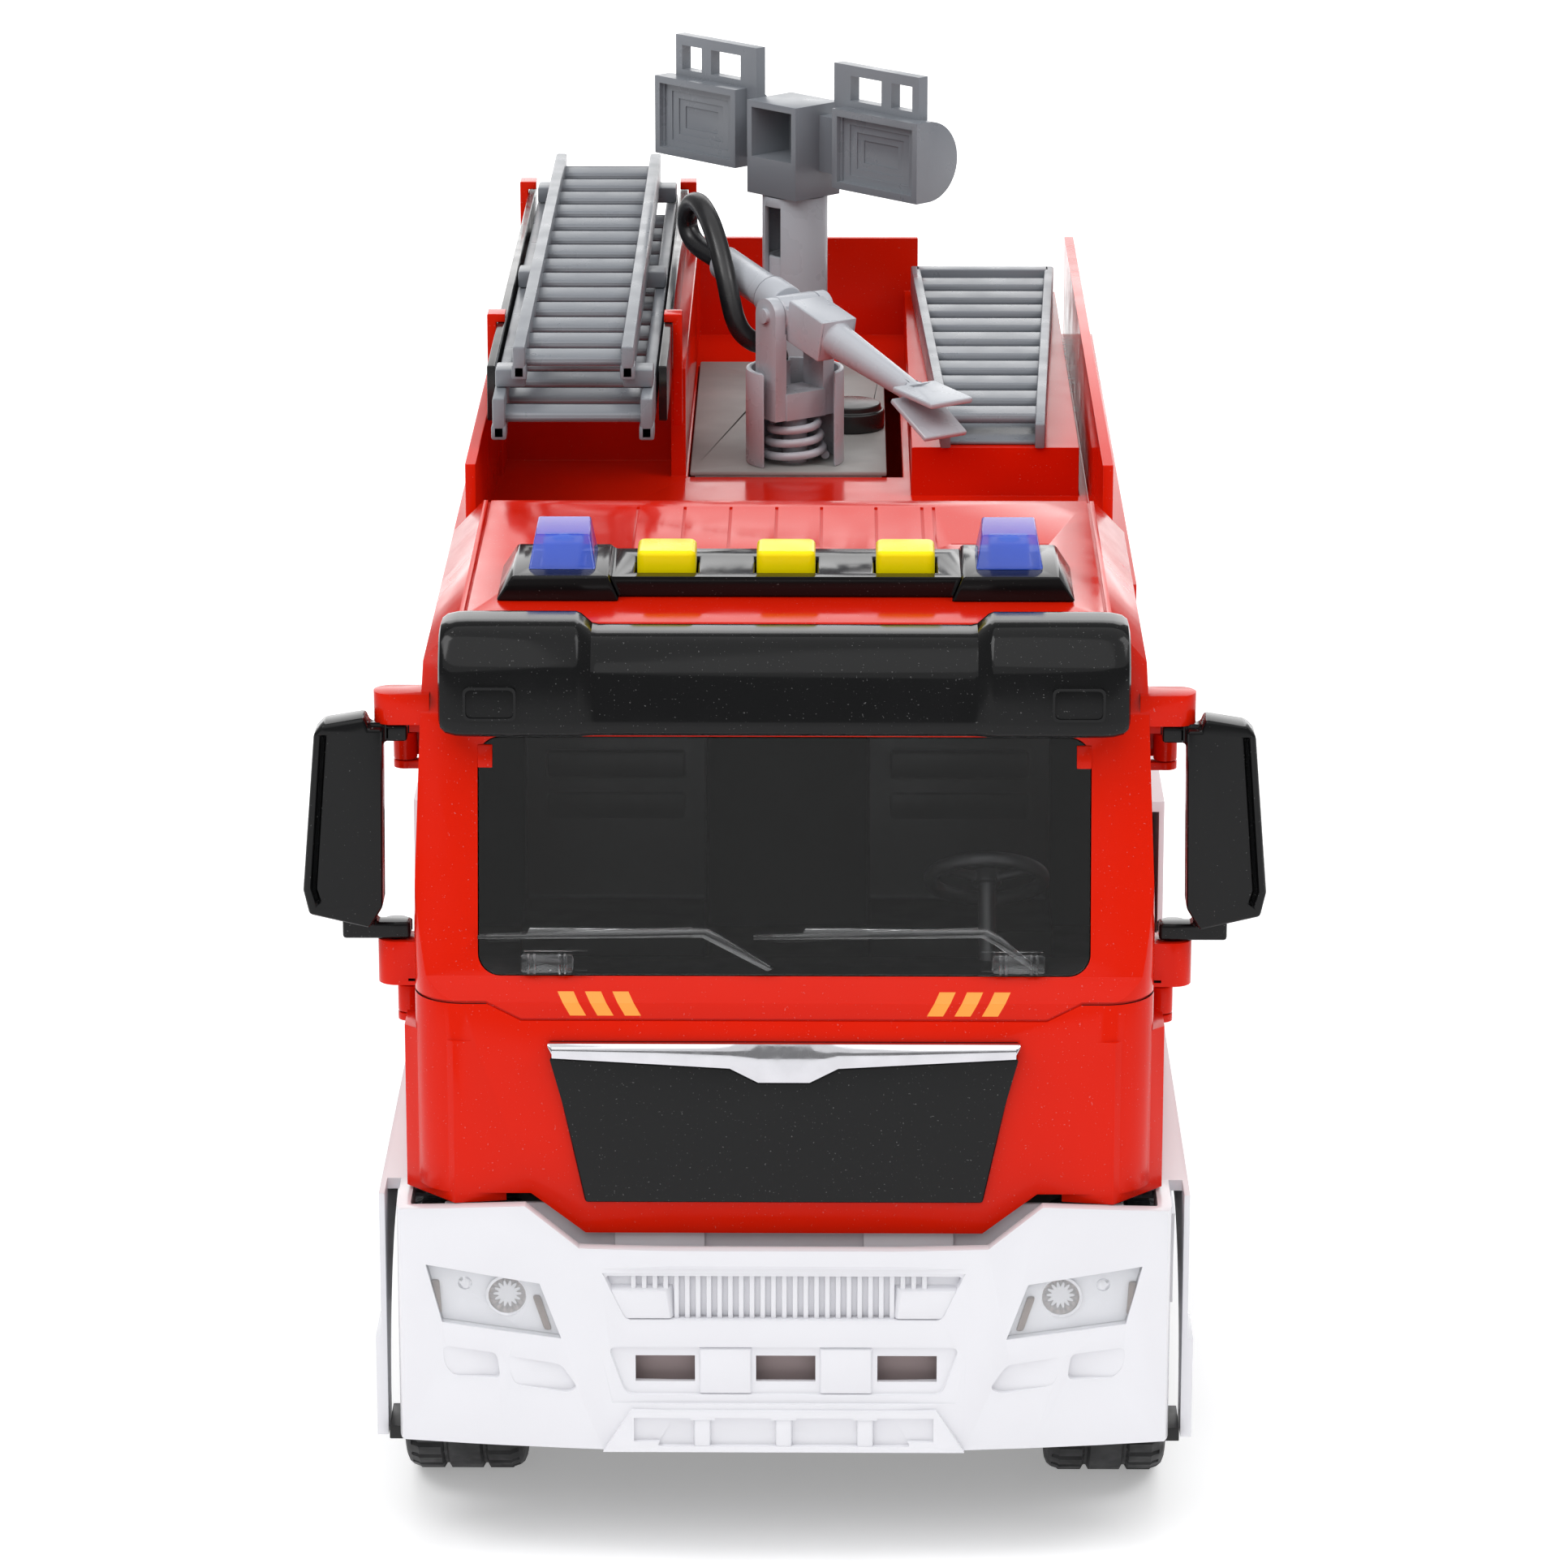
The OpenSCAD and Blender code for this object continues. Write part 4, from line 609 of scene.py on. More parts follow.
class ENGINE_OT_bumper(PieceOperator, bpy.types.Operator):
    """Front bumper with its stepped middle, ribbed grille, fog lamp panels and step plate, and a wall of
    painted shade behind its slots
    """

    bl_idname = "engine.bumper"
    bl_label = "Bumper"

    def build(self):
        face = FRONT - 1
        cuts = [
            frustum([(-39.5, 58), (39.5, 58), (32.5, 31.4), (-32.5, 31.4)],
                    [(-35.5, 56.6), (35.5, 56.6), (30.2, 31.4), (-30.2, 31.4)], "y", FRONT, FRONT + 1.3),
            frustum(rounded([(-32, 55.4), (32, 55.4), (28, 46.8), (-28, 46.8)], 1.2),
                    rounded([(-31.4, 55.0), (31.4, 55.0), (27.6, 47.2), (-27.6, 47.2)], 1.0),
                    "y", FRONT, FRONT + 3.4),
            frustum(rounded([(-31.5, 42.2), (31.5, 42.2), (28.2, 32.6), (-28.2, 32.6)], 2),
                    rounded([(-30.9, 41.8), (30.9, 41.8), (27.8, 33.0), (-27.8, 33.0)], 1.6),
                    "y", FRONT, FRONT + 2.0),
            prism(rounded([(-22.5, 23.6), (22.5, 23.6), (19.5, 28.6), (-19.5, 28.6)], 0.8), "y",
                  face, FRONT + 1.2),
        ]
        for panel in ([(60.4, 40.8), (50.8, 40.0), (50.2, 35.2), (58.6, 35.2), (60.2, 37.4)],
                      [(49.8, 39.6), (39.4, 38.4), (36.4, 34.0), (38.4, 33.0), (47.6, 34.2)]):
            outline = rounded(panel, 1.2)
            cuts += both_sides(prism(outline, "y", face, float(bow(outline[:, 0].mean())) + 0.75))
        obj = merged_copy("front_bumper", "front_bumper_moulding")
        for group in (cuts[:1], cuts[1:4], cuts[4:]):
            carve(obj, group)
        place_piece(finish_edges(obj, 0.3, clamp=True), "front_bumper")
        parts = []
        for x in np.arange(-26.5, 26.6, 1.9):
            parts.append(block((x - 0.45, FRONT + 2.1, 46.6), (x + 0.45, FRONT + 3.6, 55.8)))
        parts.append(block((-31, FRONT + 3.2, 46), (31, FRONT + 4, 56.4)))
        parts += both_sides(frustum([(28.5, 47.2), (20, 47.2), (20.8, 52.4), (30.4, 52.4)],
                                    [(28.5, 47.2), (18.8, 47.2), (19.4, 53.2), (30.6, 53.2)],
                                    "y", FRONT + 1.5, FRONT + 3.4))
        for x in (-10.3, 11.0):
            parts.append(frustum(rectangle(x - 4.4, 33.2, x + 4.4, 41.4),
                                 rectangle(x - 4.9, 32.8, x + 4.9, 41.9),
                                 "y", FRONT + 1.4, FRONT + 2.4))
        for x in (-14.4, 0.0, 14.4):
            parts.append(frustum(rectangle(x - 1.3, 22.8, x + 1.3, 28.8),
                                 rectangle(x - 1.6, 22.8, x + 1.6, 29.2),
                                 "y", FRONT + 0.15, FRONT + 1.4))
        piece("bumper_ribs", parts, "front_bumper", replaces=False, width=0.2)
        backing = [block((-60, FRONT + 9.5, 50), (60, FRONT + 10.5, 66)),
                   block((-30, FRONT + 8.2, 56), (-14, FRONT + 9.6, 61.2)),
                   block((14, FRONT + 8.2, 56), (30, FRONT + 9.6, 61.2))]
        piece("bumper_backing", backing, "front_bumper", replaces=False, width=0.3)
        # Painted shade: a brownish-grey wall close behind the slots stands in for the shade inside the
        # bumper.
        slot_wall = [block((-30, FRONT + 6, 33), (30, FRONT + 7, 42))]
        piece("bumper_slot_shade_wall", slot_wall, "front_bumper", "slot_painted_shade", False, 0.2)


class ENGINE_OT_headlights(PieceOperator, bpy.types.Operator):
    """Clear headlight covers over reflectors with a ribbed dish, a small lamp and two side slots"""

    bl_idname = "engine.headlights"
    bl_label = "Headlights"

    def dish(self, x, z, radius, y, ribs):
        """Bowl whose depth is radius less distance, with ribs waves around it, on a closed back."""
        distance = np.linspace(0.28, 1, 9)[:, None]
        angle = np.linspace(0, 2 * np.pi, ribs * 6, endpoint=False)[None, :]
        wave = 0.35 * np.cos(ribs * angle) * np.sin(np.pi * distance)
        rings = np.stack([x + radius * distance * np.cos(angle), y + 1.9 * (1 - distance) + wave,
                          z + radius * distance * np.sin(angle)], -1)
        back = rings[-1] + [0, 2.6, 0]
        return loft(np.concatenate([rings, back[None]]))

    def build(self):
        for side, node in ((-1, "left"), (1, "right")):
            lens = "headlight_lens_" + node
            reflector = "headlight_reflector_" + node
            moulding(lens, 0.12, finish="lens_clear")
            moulding(reflector, 0.15, finish="white_plastic")
            lit_y = float(bow(49)) + 1.9
            dishes = [self.dish(48.9, 50.3, 3.3, lit_y, 14)]
            rim = [(-0.3, 3.3), (0.5, 3.3), (0.5, 3.8), (-0.3, 3.8)]
            bright = [spun(rim, (48.9, lit_y, 50.3), "y", 40)]
            bright.append(spun([(0, 0.01), (0.15, 0.9), (0.6, 1.5), (1.3, 1.8), (2, 1.8), (2, 0.01)],
                               (56.2, float(bow(56)) + 1.5, 52.2), "y", 28))
            slots = []
            for x, corners in ((61, [(60.6, 46.4), (62.0, 46.4), (62.4, 52.6), (61.0, 52.6)]),
                               (42, [(41.0, 44.2), (42.3, 44.2), (44.4, 50.6), (43.0, 50.6)])):
                y = float(bow(x))
                slots.append(prism(rounded(corners, 0.5), "y", y + 1.3, y + 2.4))
            if side < 0:
                dishes = [mirrored(shape) for shape in dishes]
                bright = [mirrored(shape) for shape in bright]
                slots = [mirrored(shape) for shape in slots]
            piece("headlight_dish_" + node, dishes, reflector, "lamp_bronze", False, 0)
            piece("headlight_lamps_" + node, bright, reflector, "chrome_trim", False, 0)
            piece("headlight_slots_" + node, slots, reflector, "lamp_bronze", False, 0.15)


class ENGINE_OT_cab(PieceOperator, bpy.types.Operator):
    """Cab shell with its seam lines, roof panels and orange marks, and painted shade on the inner faces of
    the shell
    """

    bl_idname = "engine.cab"
    bl_label = "Cab shell"

    def seam_band(self):
        """Seam around a front corner: a quarter circle of radius 9 in plan, 0.45 deep and 0.5 high."""
        angle = np.linspace(0, np.pi / 2, 12)
        corner = np.array([[56.0, CAB_FRONT + 9.0]])
        direction = np.stack([np.sin(angle), -np.cos(angle)], -1)
        inner = np.concatenate([
            [[52.0, CAB_FRONT + 0.45]], corner + direction * 8.55, [[64.55, CAB_FRONT + 26]]])
        outer = np.concatenate([
            [[52.0, CAB_FRONT - 1.5]], corner + direction * 10.5, [[66.5, CAB_FRONT + 26]]])
        return prism(np.concatenate([inner, outer[::-1]]), "z", 103.75, 104.25)

    def build(self):
        line = [(-52, 104.25), (-46, 101.15), (46, 101.15), (52, 104.25),
                (52, 103.75), (46, 100.65), (-46, 100.65), (-52, 103.75)]
        cuts = [prism(line, "y", CAB_FRONT - 1, CAB_FRONT + 0.45)]
        cuts += both_sides(self.seam_band())
        for x in (-28.2, -19.4, -10.8, -2.2, 6.2, 16.4, 25.0, 27.2):
            cuts.append(block((x - 0.3, -104, ROOF - 0.4), (x + 0.3, -60, ROOF + 1)))
        for x in (-56.4, 56.4):
            cuts.append(block((x - 0.3, -138, ROOF - 0.4), (x + 0.3, CAB_BACK + 1, ROOF + 1)))
        cuts.append(block((-28.2, -104.3, ROOF - 0.4), (27.2, -103.7, ROOF + 1)))
        cuts.append(block((30, -88.3, ROOF - 0.4), (48, -87.7, ROOF + 1)))
        obj = carve(merged_copy("cab_shell", "cab_shell_moulding"), cuts)
        finish_edges(obj, 0.35, angle=20, clamp=True)
        place_piece(obj, "cab_shell")
        # Painted shade: the shell's inward faces inside the cab take the black interior finish, standing in
        # for the shade inside the cab.
        room_start = (-63.2, CAB_FRONT + 1.2, 60)
        room_end = (63.2, CAB_BACK - 1, ROOF - 1.4)
        paint_shade_inside(obj, "interior_black", room_start, room_end)
        marks = []
        heights = np.array([101.7, 104.0, 105.7])
        for x in (26.6, 31.4, 36.2):
            rows = []
            for z in heights:
                lean = (z - 101.7) * 0.55
                y = float(cab_face(z))
                rows.append([(x - 1.6 + lean, y - 0.06, z), (x + 1.2 + lean, y - 0.06, z),
                             (x + 1.2 + lean, y + 0.1, z), (x - 1.6 + lean, y + 0.1, z)])
            marks += both_sides(loft(rows))
        obj = new_object("cab_marks", marks)
        obj.data.materials.append(MATERIALS["orange_print"])
        place_piece(obj, "cab_shell", replaces=False)


class ENGINE_OT_grille(PieceOperator, bpy.types.Operator):
    """Gloss black front panel with the plated strip along its top"""

    bl_idname = "engine.grille"
    bl_label = "Front panel"

    def build(self):
        moulding("grille_panel", 0.5, 3)
        x = np.array([-41.3, -40.6, -9.5, -4.5, 4.5, 9.5, 40.6, 41.3])
        upper = np.full(8, 97.0)
        lower = np.array([96.6, 94.4, 92.6, 90.0, 90.0, 92.6, 94.4, 96.6])
        share = np.linspace(0, 1, 7)[:, None]
        z = lower + (upper - lower) * share
        y = CAB_FRONT - 1.5 - 0.85 * np.sin(np.pi * (0.15 + 0.8 * share))
        front = np.stack([*np.broadcast_arrays(x, y, z)], -1)
        back = front[::-1].copy()
        back[:, :, 1] = CAB_FRONT - 0.6
        rings = np.concatenate([front, back]).transpose(1, 0, 2)
        piece("grille_trim_strip", [loft(rings)], "grille_trim", width=0, angle=40)


class ENGINE_OT_windscreen(PieceOperator, bpy.types.Operator):
    """Clear windscreen with its moulded wipers and clips"""

    bl_idname = "engine.windscreen"
    bl_label = "Windscreen"

    def wiper(self, tip_x, elbow_x, foot_x):
        """Blade, and the arm from its elbow down to the foot, as drawn on the screen."""
        arm = [(tip_x, 6.5), (elbow_x - 1, 6.9), (elbow_x + 1.5, 5.6), (foot_x - 0.4, 1.0),
               (foot_x + 0.8, 1.4), (elbow_x + 2.4, 7.0), (elbow_x, 8.3), (tip_x + 9, 8.4),
               (tip_x + 8.6, 7.4), (tip_x, 7.2)]
        return on_screen(frustum(arm, arm, "y", -0.1, 1.3))

    def build(self):
        moulding("windscreen", 0)
        extras = [self.wiper(-53.6, -13.4, -2.6), self.wiper(-5.4, 35.5, 44.0)]
        for x in (-41.5, 41.0):
            clip = rounded(rectangle(x - 4.6, 0.6, x + 4.6, 3.8), 0.6)
            extras.append(on_screen(prism(clip, "y", -0.1, 0.9)))
            for offset in (-3.2, -2.2, 2.2, 3.2):
                rib = block((x + offset - 0.25, 0.5, 0.4), (x + offset + 0.25, 1.5, 4.0))
                extras.append(on_screen(rib))
        piece("windscreen_wipers", extras, "windscreen", replaces=False, width=0.15)
        tab = on_screen(block((51.0, -0.9, 36.5), (53.6, 0.2, 40.6)))
        piece("windscreen_tabs", both_sides(tab), "cab_shell", "red_plastic", False, 0.2)


class ENGINE_OT_interior(PieceOperator, bpy.types.Operator):
    """Seats, dashboard and steering wheel"""

    bl_idname = "engine.interior"
    bl_label = "Interior"

    def build(self):
        moulding("cab_interior", 1.0, 3)
        moulding("steering_wheel", 0.3)
        seams = []
        for z in (104, 112, 120, 128, 136):
            seams.append(block((19, -81.4, z), (45, -79.0, z + 5.4)))
        shapes = [shape for seam in seams for shape in both_sides(seam)]
        piece("seat_ribs", shapes, "cab_interior", replaces=False, width=0.8, segments=3)


class ENGINE_OT_visor(PieceOperator, bpy.types.Operator):
    """Sun visor: two full ends, a lower set-back middle and moulded lamp outlines"""

    bl_idname = "engine.visor"
    bl_label = "Sun visor"

    def build(self):
        ends = np.array([
            (-162.5, 152.2), (-161.6, 151.0), (-159, 150.5), (-151.5, 153), (-145.5, 166.5),
            (-145.5, 169), (-147, 170), (-154.5, 170), (-157.5, 168.8), (-161.2, 163.5)])
        middle = np.array([
            (-161.0, 152.2), (-160.4, 151.0), (-158.5, 150.5), (-151.5, 153), (-145.5, 165),
            (-145.5, 167), (-147, 167.6), (-153.0, 167.6), (-155.4, 166.8), (-159.2, 162.5)])
        half = [(60, 0.78, 0), (59.7, 0.88, 0), (58.8, 0.95, 0), (57, 0.99, 0), (55, 1, 0), (36.5, 1, 0),
                (35.6, 1, 0.15), (33.6, 1, 0.9), (32.6, 1, 1)]
        stations = [(-x, size, share) for x, size, share in half] + half[::-1]
        centre = ends.mean(axis=0)
        rings = []
        for x, size, share in stations:
            profile = ends * (1 - share) + middle * share
            rings.append(across(centre + (rounded(profile, 1.6, 4) - centre) * size, "x", x))
        shapes = [loft(rings)]
        lamp_outline = rectangle(46.4, 154.2, 55.6, 160.2)
        shapes += both_sides(frame_ring(lamp_outline, 1.2, 0.45, "y", -162.75, -161.2))
        piece("visor_moulding", shapes, "visor", width=0, angle=34)


class ENGINE_OT_doors(PieceOperator, bpy.types.Operator):
    """Doors with their handles and clear side windows"""

    bl_idname = "engine.doors"
    bl_label = "Doors"

    def build(self):
        for side in ("left", "right"):
            moulding("door_" + side, 0.35)
            moulding("door_window_" + side, 0.2)


class ENGINE_OT_mirrors(PieceOperator, bpy.types.Operator):
    """Folding mirrors"""

    bl_idname = "engine.mirrors"
    bl_label = "Mirrors"

    def build(self):
        line = [(80.2, 149.2), (80.8, 149.2), (83.0, 121.2), (82.2, 118.6), (81.7, 119.0), (82.4, 121.3)]
        cut = prism(line, "y", -156, -154.6)
        moulding("mirror_right", 0.6, 3, cuts=[cut])
        moulding("mirror_left", 0.6, 3, cuts=[mirrored(cut)])


class ENGINE_OT_light_bar(PieceOperator, bpy.types.Operator):
    """Light bar with two clear blue beacons and three push buttons"""

    bl_idname = "engine.light_bar"
    bl_label = "Light bar"

    def build(self):
        moulding("light_bar", 0.6, 3)
        for node in ("button_left", "button_centre", "button_right"):
            moulding(node, 0.9, 4)
        for side, node in ((-1, "beacon_left"), (1, "beacon_right")):
            moulding(node, 0.4, 3)
            x = 39.8 * side
            z = 171.8
            dome = [(z + 3.3, 0.01), (z + 3.3, 2.2), (z + 4.0, 2.0), (z + 4.3, 1.2), (z + 4.4, 0.01)]
            lamps = [block((x - 3.2, BAR_Y - 3.2, z), (x + 3.2, BAR_Y + 3.6, z + 3.4)),
                     spun(dome, (x, BAR_Y, 0), "z", 28)]
            piece(node + "_lamp", lamps, node, "beacon_lamp", False, 0.3)


class ENGINE_OT_wheels(PieceOperator, bpy.types.Operator):
    """Rubber tyres with block tread, and their hubs"""

    bl_idname = "engine.wheels"
    bl_label = "Wheels"

    def tyre(self, node):
        """Rounded section whose outer radius drops by 0.9 mm in two rings and in 36 slots across."""
        lowest, highest = low(node), high(node)
        centre = (lowest + highest) / 2
        half = (highest[0] - lowest[0]) / 2
        outer = (highest[2] - lowest[2]) / 2
        section = rounded([(-half, 15.6), (-half, outer - 1.2), (-half + 2.6, outer), (half - 2.6, outer),
                           (half, outer - 1.2), (half, 15.6)], 2.2, 4)
        tread = np.stack([np.linspace(-half + 2.6, half - 2.6, 34), np.full(34, outer)], -1)
        first = section[section[:, 0] < -half + 2.7]
        last = section[section[:, 0] > half - 2.7]
        bottom_left = first[first[:, 1] < 17]
        upper_left = first[first[:, 1] >= 17]
        profile = np.concatenate([bottom_left, upper_left, tread, last])
        angle = np.linspace(0, 2 * np.pi, 288, endpoint=False)[:, None]
        along = profile[:, 0][None]
        radius = np.broadcast_to(profile[:, 1], (288, len(profile))).copy()
        on_tread = radius > outer - 0.6
        rings_cut = np.abs(np.abs(along) - 3.4) < 0.5
        slots = (np.sin(36 * angle + np.sign(along) * 1.2) > 0.72) & (np.abs(along) > 3.4)
        radius -= 0.9 * (on_tread & (rings_cut | slots))
        points = np.stack([np.broadcast_to(along, radius.shape), radius * np.cos(angle),
                           radius * np.sin(angle)], -1) + centre
        return loft(np.concatenate([points, points[:1]]), caps=False)

    def build(self):
        for place in ("front_left", "front_right", "rear_left", "rear_right"):
            node = "tyre_" + place
            piece(node + "_rubber", [self.tyre(node)], node, width=0, angle=30)
            moulding("hub_" + place, 0.4)


class ENGINE_OT_body(PieceOperator, bpy.types.Operator):
    """Bed, lower shell and what stands in the bed"""

    bl_idname = "engine.body"
    bl_label = "Body"

    def build(self):
        moulding("body_shell", 0.5, 3)
        moulding("lower_shell", 0.5, 3)
        moulding("tank_cover", 0.3)
        moulding("filler_cap", 0.5, 3)
        moulding("water_tank", 0.4)
        moulding("ladder_cradle", 0.3)


class ENGINE_OT_chassis(PieceOperator, bpy.types.Operator):
    """Chassis, gears and the other parts under the shells"""

    bl_idname = "engine.chassis"
    bl_label = "Chassis"

    def build(self):
        for node in ("chassis_base", "front_axle", "rear_axle", "gearbox_frame", "drive_gear", "idler_gear",
                     "flywheel", "battery_door", "chassis_screws", "speaker", "switch_board"):
            moulding(node, 0.2)


class ENGINE_OT_ladders(PieceOperator, bpy.types.Operator):
    """Two ladders with flat rungs"""

    bl_idname = "engine.ladders"
    bl_label = "Ladders"

    def ladder(self, node, width, height):
        """Rails of a rounded section with stepped front ends, and flat rungs between them."""
        lowest, highest = low(node), high(node)
        base = highest[2] - height
        shapes = []
        for side in (-1, 1):
            x = LADDER_X + side * (width / 2 - 1.2)
            shapes.append(block((x - 1.2, lowest[1], base), (x + 1.2, highest[1], highest[2])))
            step_end = (x + 1.45, lowest[1] + 5.5, base + 2.6)
            shapes.append(block((x - 1.45, lowest[1], base - 0.2), step_end))
        middle = base + height / 2
        half_gap = width / 2 - 1.3
        for y in np.arange(lowest[1] + 5, highest[1] - 3, 14.2):
            section = rounded([(y - 2.6, middle - 1.3), (y + 2.6, middle - 0.3),
                               (y + 2.6, middle + 1.5), (y - 2.6, middle + 0.5)], 0.8, 4)
            shapes.append(prism(section, "x", LADDER_X - half_gap, LADDER_X + half_gap))
        return shapes

    def build(self):
        lower = self.ladder("lower_ladder", 30.7, 8)
        piece("lower_ladder_rungs", lower, "lower_ladder", width=0.45)
        upper = self.ladder("upper_ladder", 23.2, 6.3)
        start = low("upper_ladder")[1]
        for y in (start + 4, start + 96, high("upper_ladder")[1] - 12):
            for side in (-1, 1):
                x = sorted((LADDER_X + side * 9.4, LADDER_X + side * 15.2))
                upper.append(block((x[0], y, 182.15), (x[1], y + 7, 185.6)))
        piece("upper_ladder_rungs", upper, "upper_ladder", width=0.45)


class ENGINE_OT_rack(PieceOperator, bpy.types.Operator):
    """Slatted rack between two tapering rails, with a shallow tray under the slats"""

    bl_idname = "engine.rack"
    bl_label = "Slatted rack"

    def build(self):
        lowest, highest = low("equipment_rack"), high("equipment_rack")
        y0, y1, z0, z1 = lowest[1], highest[1], lowest[2], highest[2]
        left = (29.8, 25.4)
        right = (50.6, 57.0)
        shapes = []
        for near, far in ((left[0], left[1]), (right[0] - 2, right[1] - 2)):
            rings = []
            for share in np.linspace(0, 1, 9):
                x = near + (far - near) * share
                y = y0 + (y1 - y0) * share
                drop = 1.6 * max(0.0, 1 - share / 0.09)
                rings.append([(x, y, z0), (x + 2, y, z0), (x + 2, y, z1 - drop), (x, y, z1 - drop)])
            shapes.append(loft(rings))
        for share in (np.arange(10) + 0.5) / 10:
            y = y0 + 4 + share * (y1 - y0 - 8)
            ends = [near + (far - near) * share for near, far in ((left[0] + 1, left[1] + 1),
                                                                  (right[0] - 1, right[1] - 1))]
            section = rounded([(y - 3.4, z0 + 3.2), (y + 3.0, z0 + 3.8), (y + 3.0, z0 + 5.8),
                               (y - 3.4, z0 + 5.2)], 0.9, 4)
            shapes.append(prism(section, "x", ends[0], ends[1]))
        shapes.append(block((left[1] + 1, y1 - 4, z0), (right[1] - 1, y1, z1)))
        tray = [(left[0] + 1, y0 + 3), (right[0] - 1, y0 + 3),
                (right[1] - 1, y1 - 3), (left[1] + 1, y1 - 3)]
        shapes.append(prism(tray, "z", z0 + 0.05, z0 + 0.9))
        piece("equipment_rack_slats", shapes, "equipment_rack", width=0.4)


class ENGINE_OT_monitor(PieceOperator, bpy.types.Operator):
    """Water monitor: open tower, pump spring, fork and nozzle"""

    bl_idname = "engine.monitor"
    bl_label = "Water monitor"

    def build(self):
        moulding("pump_tower", 0.35)
        moulding("pump_fork", 0.5, 3)
        moulding("nozzle", 0.45, 3)
        turns = np.linspace(0, 3.5, 3 * 28)
        angle = 2 * np.pi * turns
        rise = np.clip((turns - 0.35) / 2.8, 0, 1)
        radius = 6.2 - 1.8 * turns / 3.5
        z = 152.1 + rise * 7.3
        path = np.stack([TOWER[0] + radius * np.cos(angle), TOWER[1] + radius * np.sin(angle), z], -1)
        coil = piece("pump_spring_coil", [tube(path, 0.85, 16)], "pump_spring", width=0)
        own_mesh(coil)


class ENGINE_OT_hose(PieceOperator, bpy.types.Operator):
    """Black hose that loops from the riser over into the nozzle"""

    bl_idname = "engine.hose"
    bl_label = "Hose"

    def build(self):
        points = np.array([
            (0, 5.9, 171.1), (0, 5.95, 171.8), (-0.6, 6.4, 172.9), (-2.4, 7.4, 174),
            (-4.6, 8.6, 175), (-6.3, 9.8, 176.8), (-7.2, 10.9, 179.5), (-7.4, 12.2, 183),
            (-7.1, 14, 186.8), (-6.4, 16.6, 190.5), (-5.5, 19.8, 194), (-4.5, 23.4, 197),
            (-3.4, 27.4, 199), (-2.2, 31.4, 199.6), (-1.2, 35, 198.6), (-0.5, 37.3, 196.2),
            (-0.1, 37.9, 193.4), (0, 36.4, 191), (0, 33.6, 189.6), (0, 30, 188.8), (0, 25.5, 187.85)])
        points[:, :2] += TOWER
        points = turned((points, []), TOWER_TURN, TOWER)[0]
        route = self.smooth_route(points)
        across_route = (math.cos(math.radians(TOWER_TURN)), math.sin(math.radians(TOWER_TURN)), 0)
        obj = new_object("hose_tube", [tube(route, 2.1, 24, across_route)])
        finish_edges(obj, 0)
        obj.data.materials.append(MATERIALS["hose_rubber"])
        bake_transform(obj)
        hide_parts("hose")

    def smooth_route(self, points):
        """Catmull-Rom curve through the points, 8 steps to a span:
        p(t) = h00 a + h10 ta + h01 b + h11 tb, with each tangent half the chord of its neighbours."""
        tangent = np.gradient(points, axis=0)
        t = np.linspace(0, 1, 8, endpoint=False)[None, :, None]
        a, b = points[:-1, None], points[1:, None]
        ta, tb = tangent[:-1, None], tangent[1:, None]
        curve = ((2 * t ** 3 - 3 * t ** 2 + 1) * a + (t ** 3 - 2 * t ** 2 + t) * ta
                 + (-2 * t ** 3 + 3 * t ** 2) * b + (t ** 3 - t ** 2) * tb)
        return np.concatenate([curve.reshape(-1, 3), points[-1:]])


class ENGINE_OT_mast(PieceOperator, bpy.types.Operator):
    """Lamp mast and its head, with stepped lamp faces"""

    bl_idname = "engine.mast"
    bl_label = "Lamp mast"

    def build(self):
        moulding("mast_tube", 0.3)
        moulding("mast_post", 0.35)
        bank_z = 194.9
        cuts = []
        for inset in (1.6, 3.1, 4.6, 6.1):
            deepest = MAST[1] - 2.25 + 0.18 * inset
            low_corner = (MAST[0] + 15 + inset * 1.25, MAST[1] - 5, bank_z + inset)
            high_corner = (MAST[0] + 40.5 - inset * 1.25, deepest, bank_z + 17 - inset)
            cuts.append(block(low_corner, high_corner))
        across_middle = np.array([2 * MAST[0], 0, 0])
        cuts += [(points * np.array([-1, 1, 1]) + across_middle, faces) for points, faces in cuts]
        cuts = [turned(shape, MAST_TURN, MAST) for shape in cuts]
        moulding("lamp_head", 0.35, cuts=cuts)


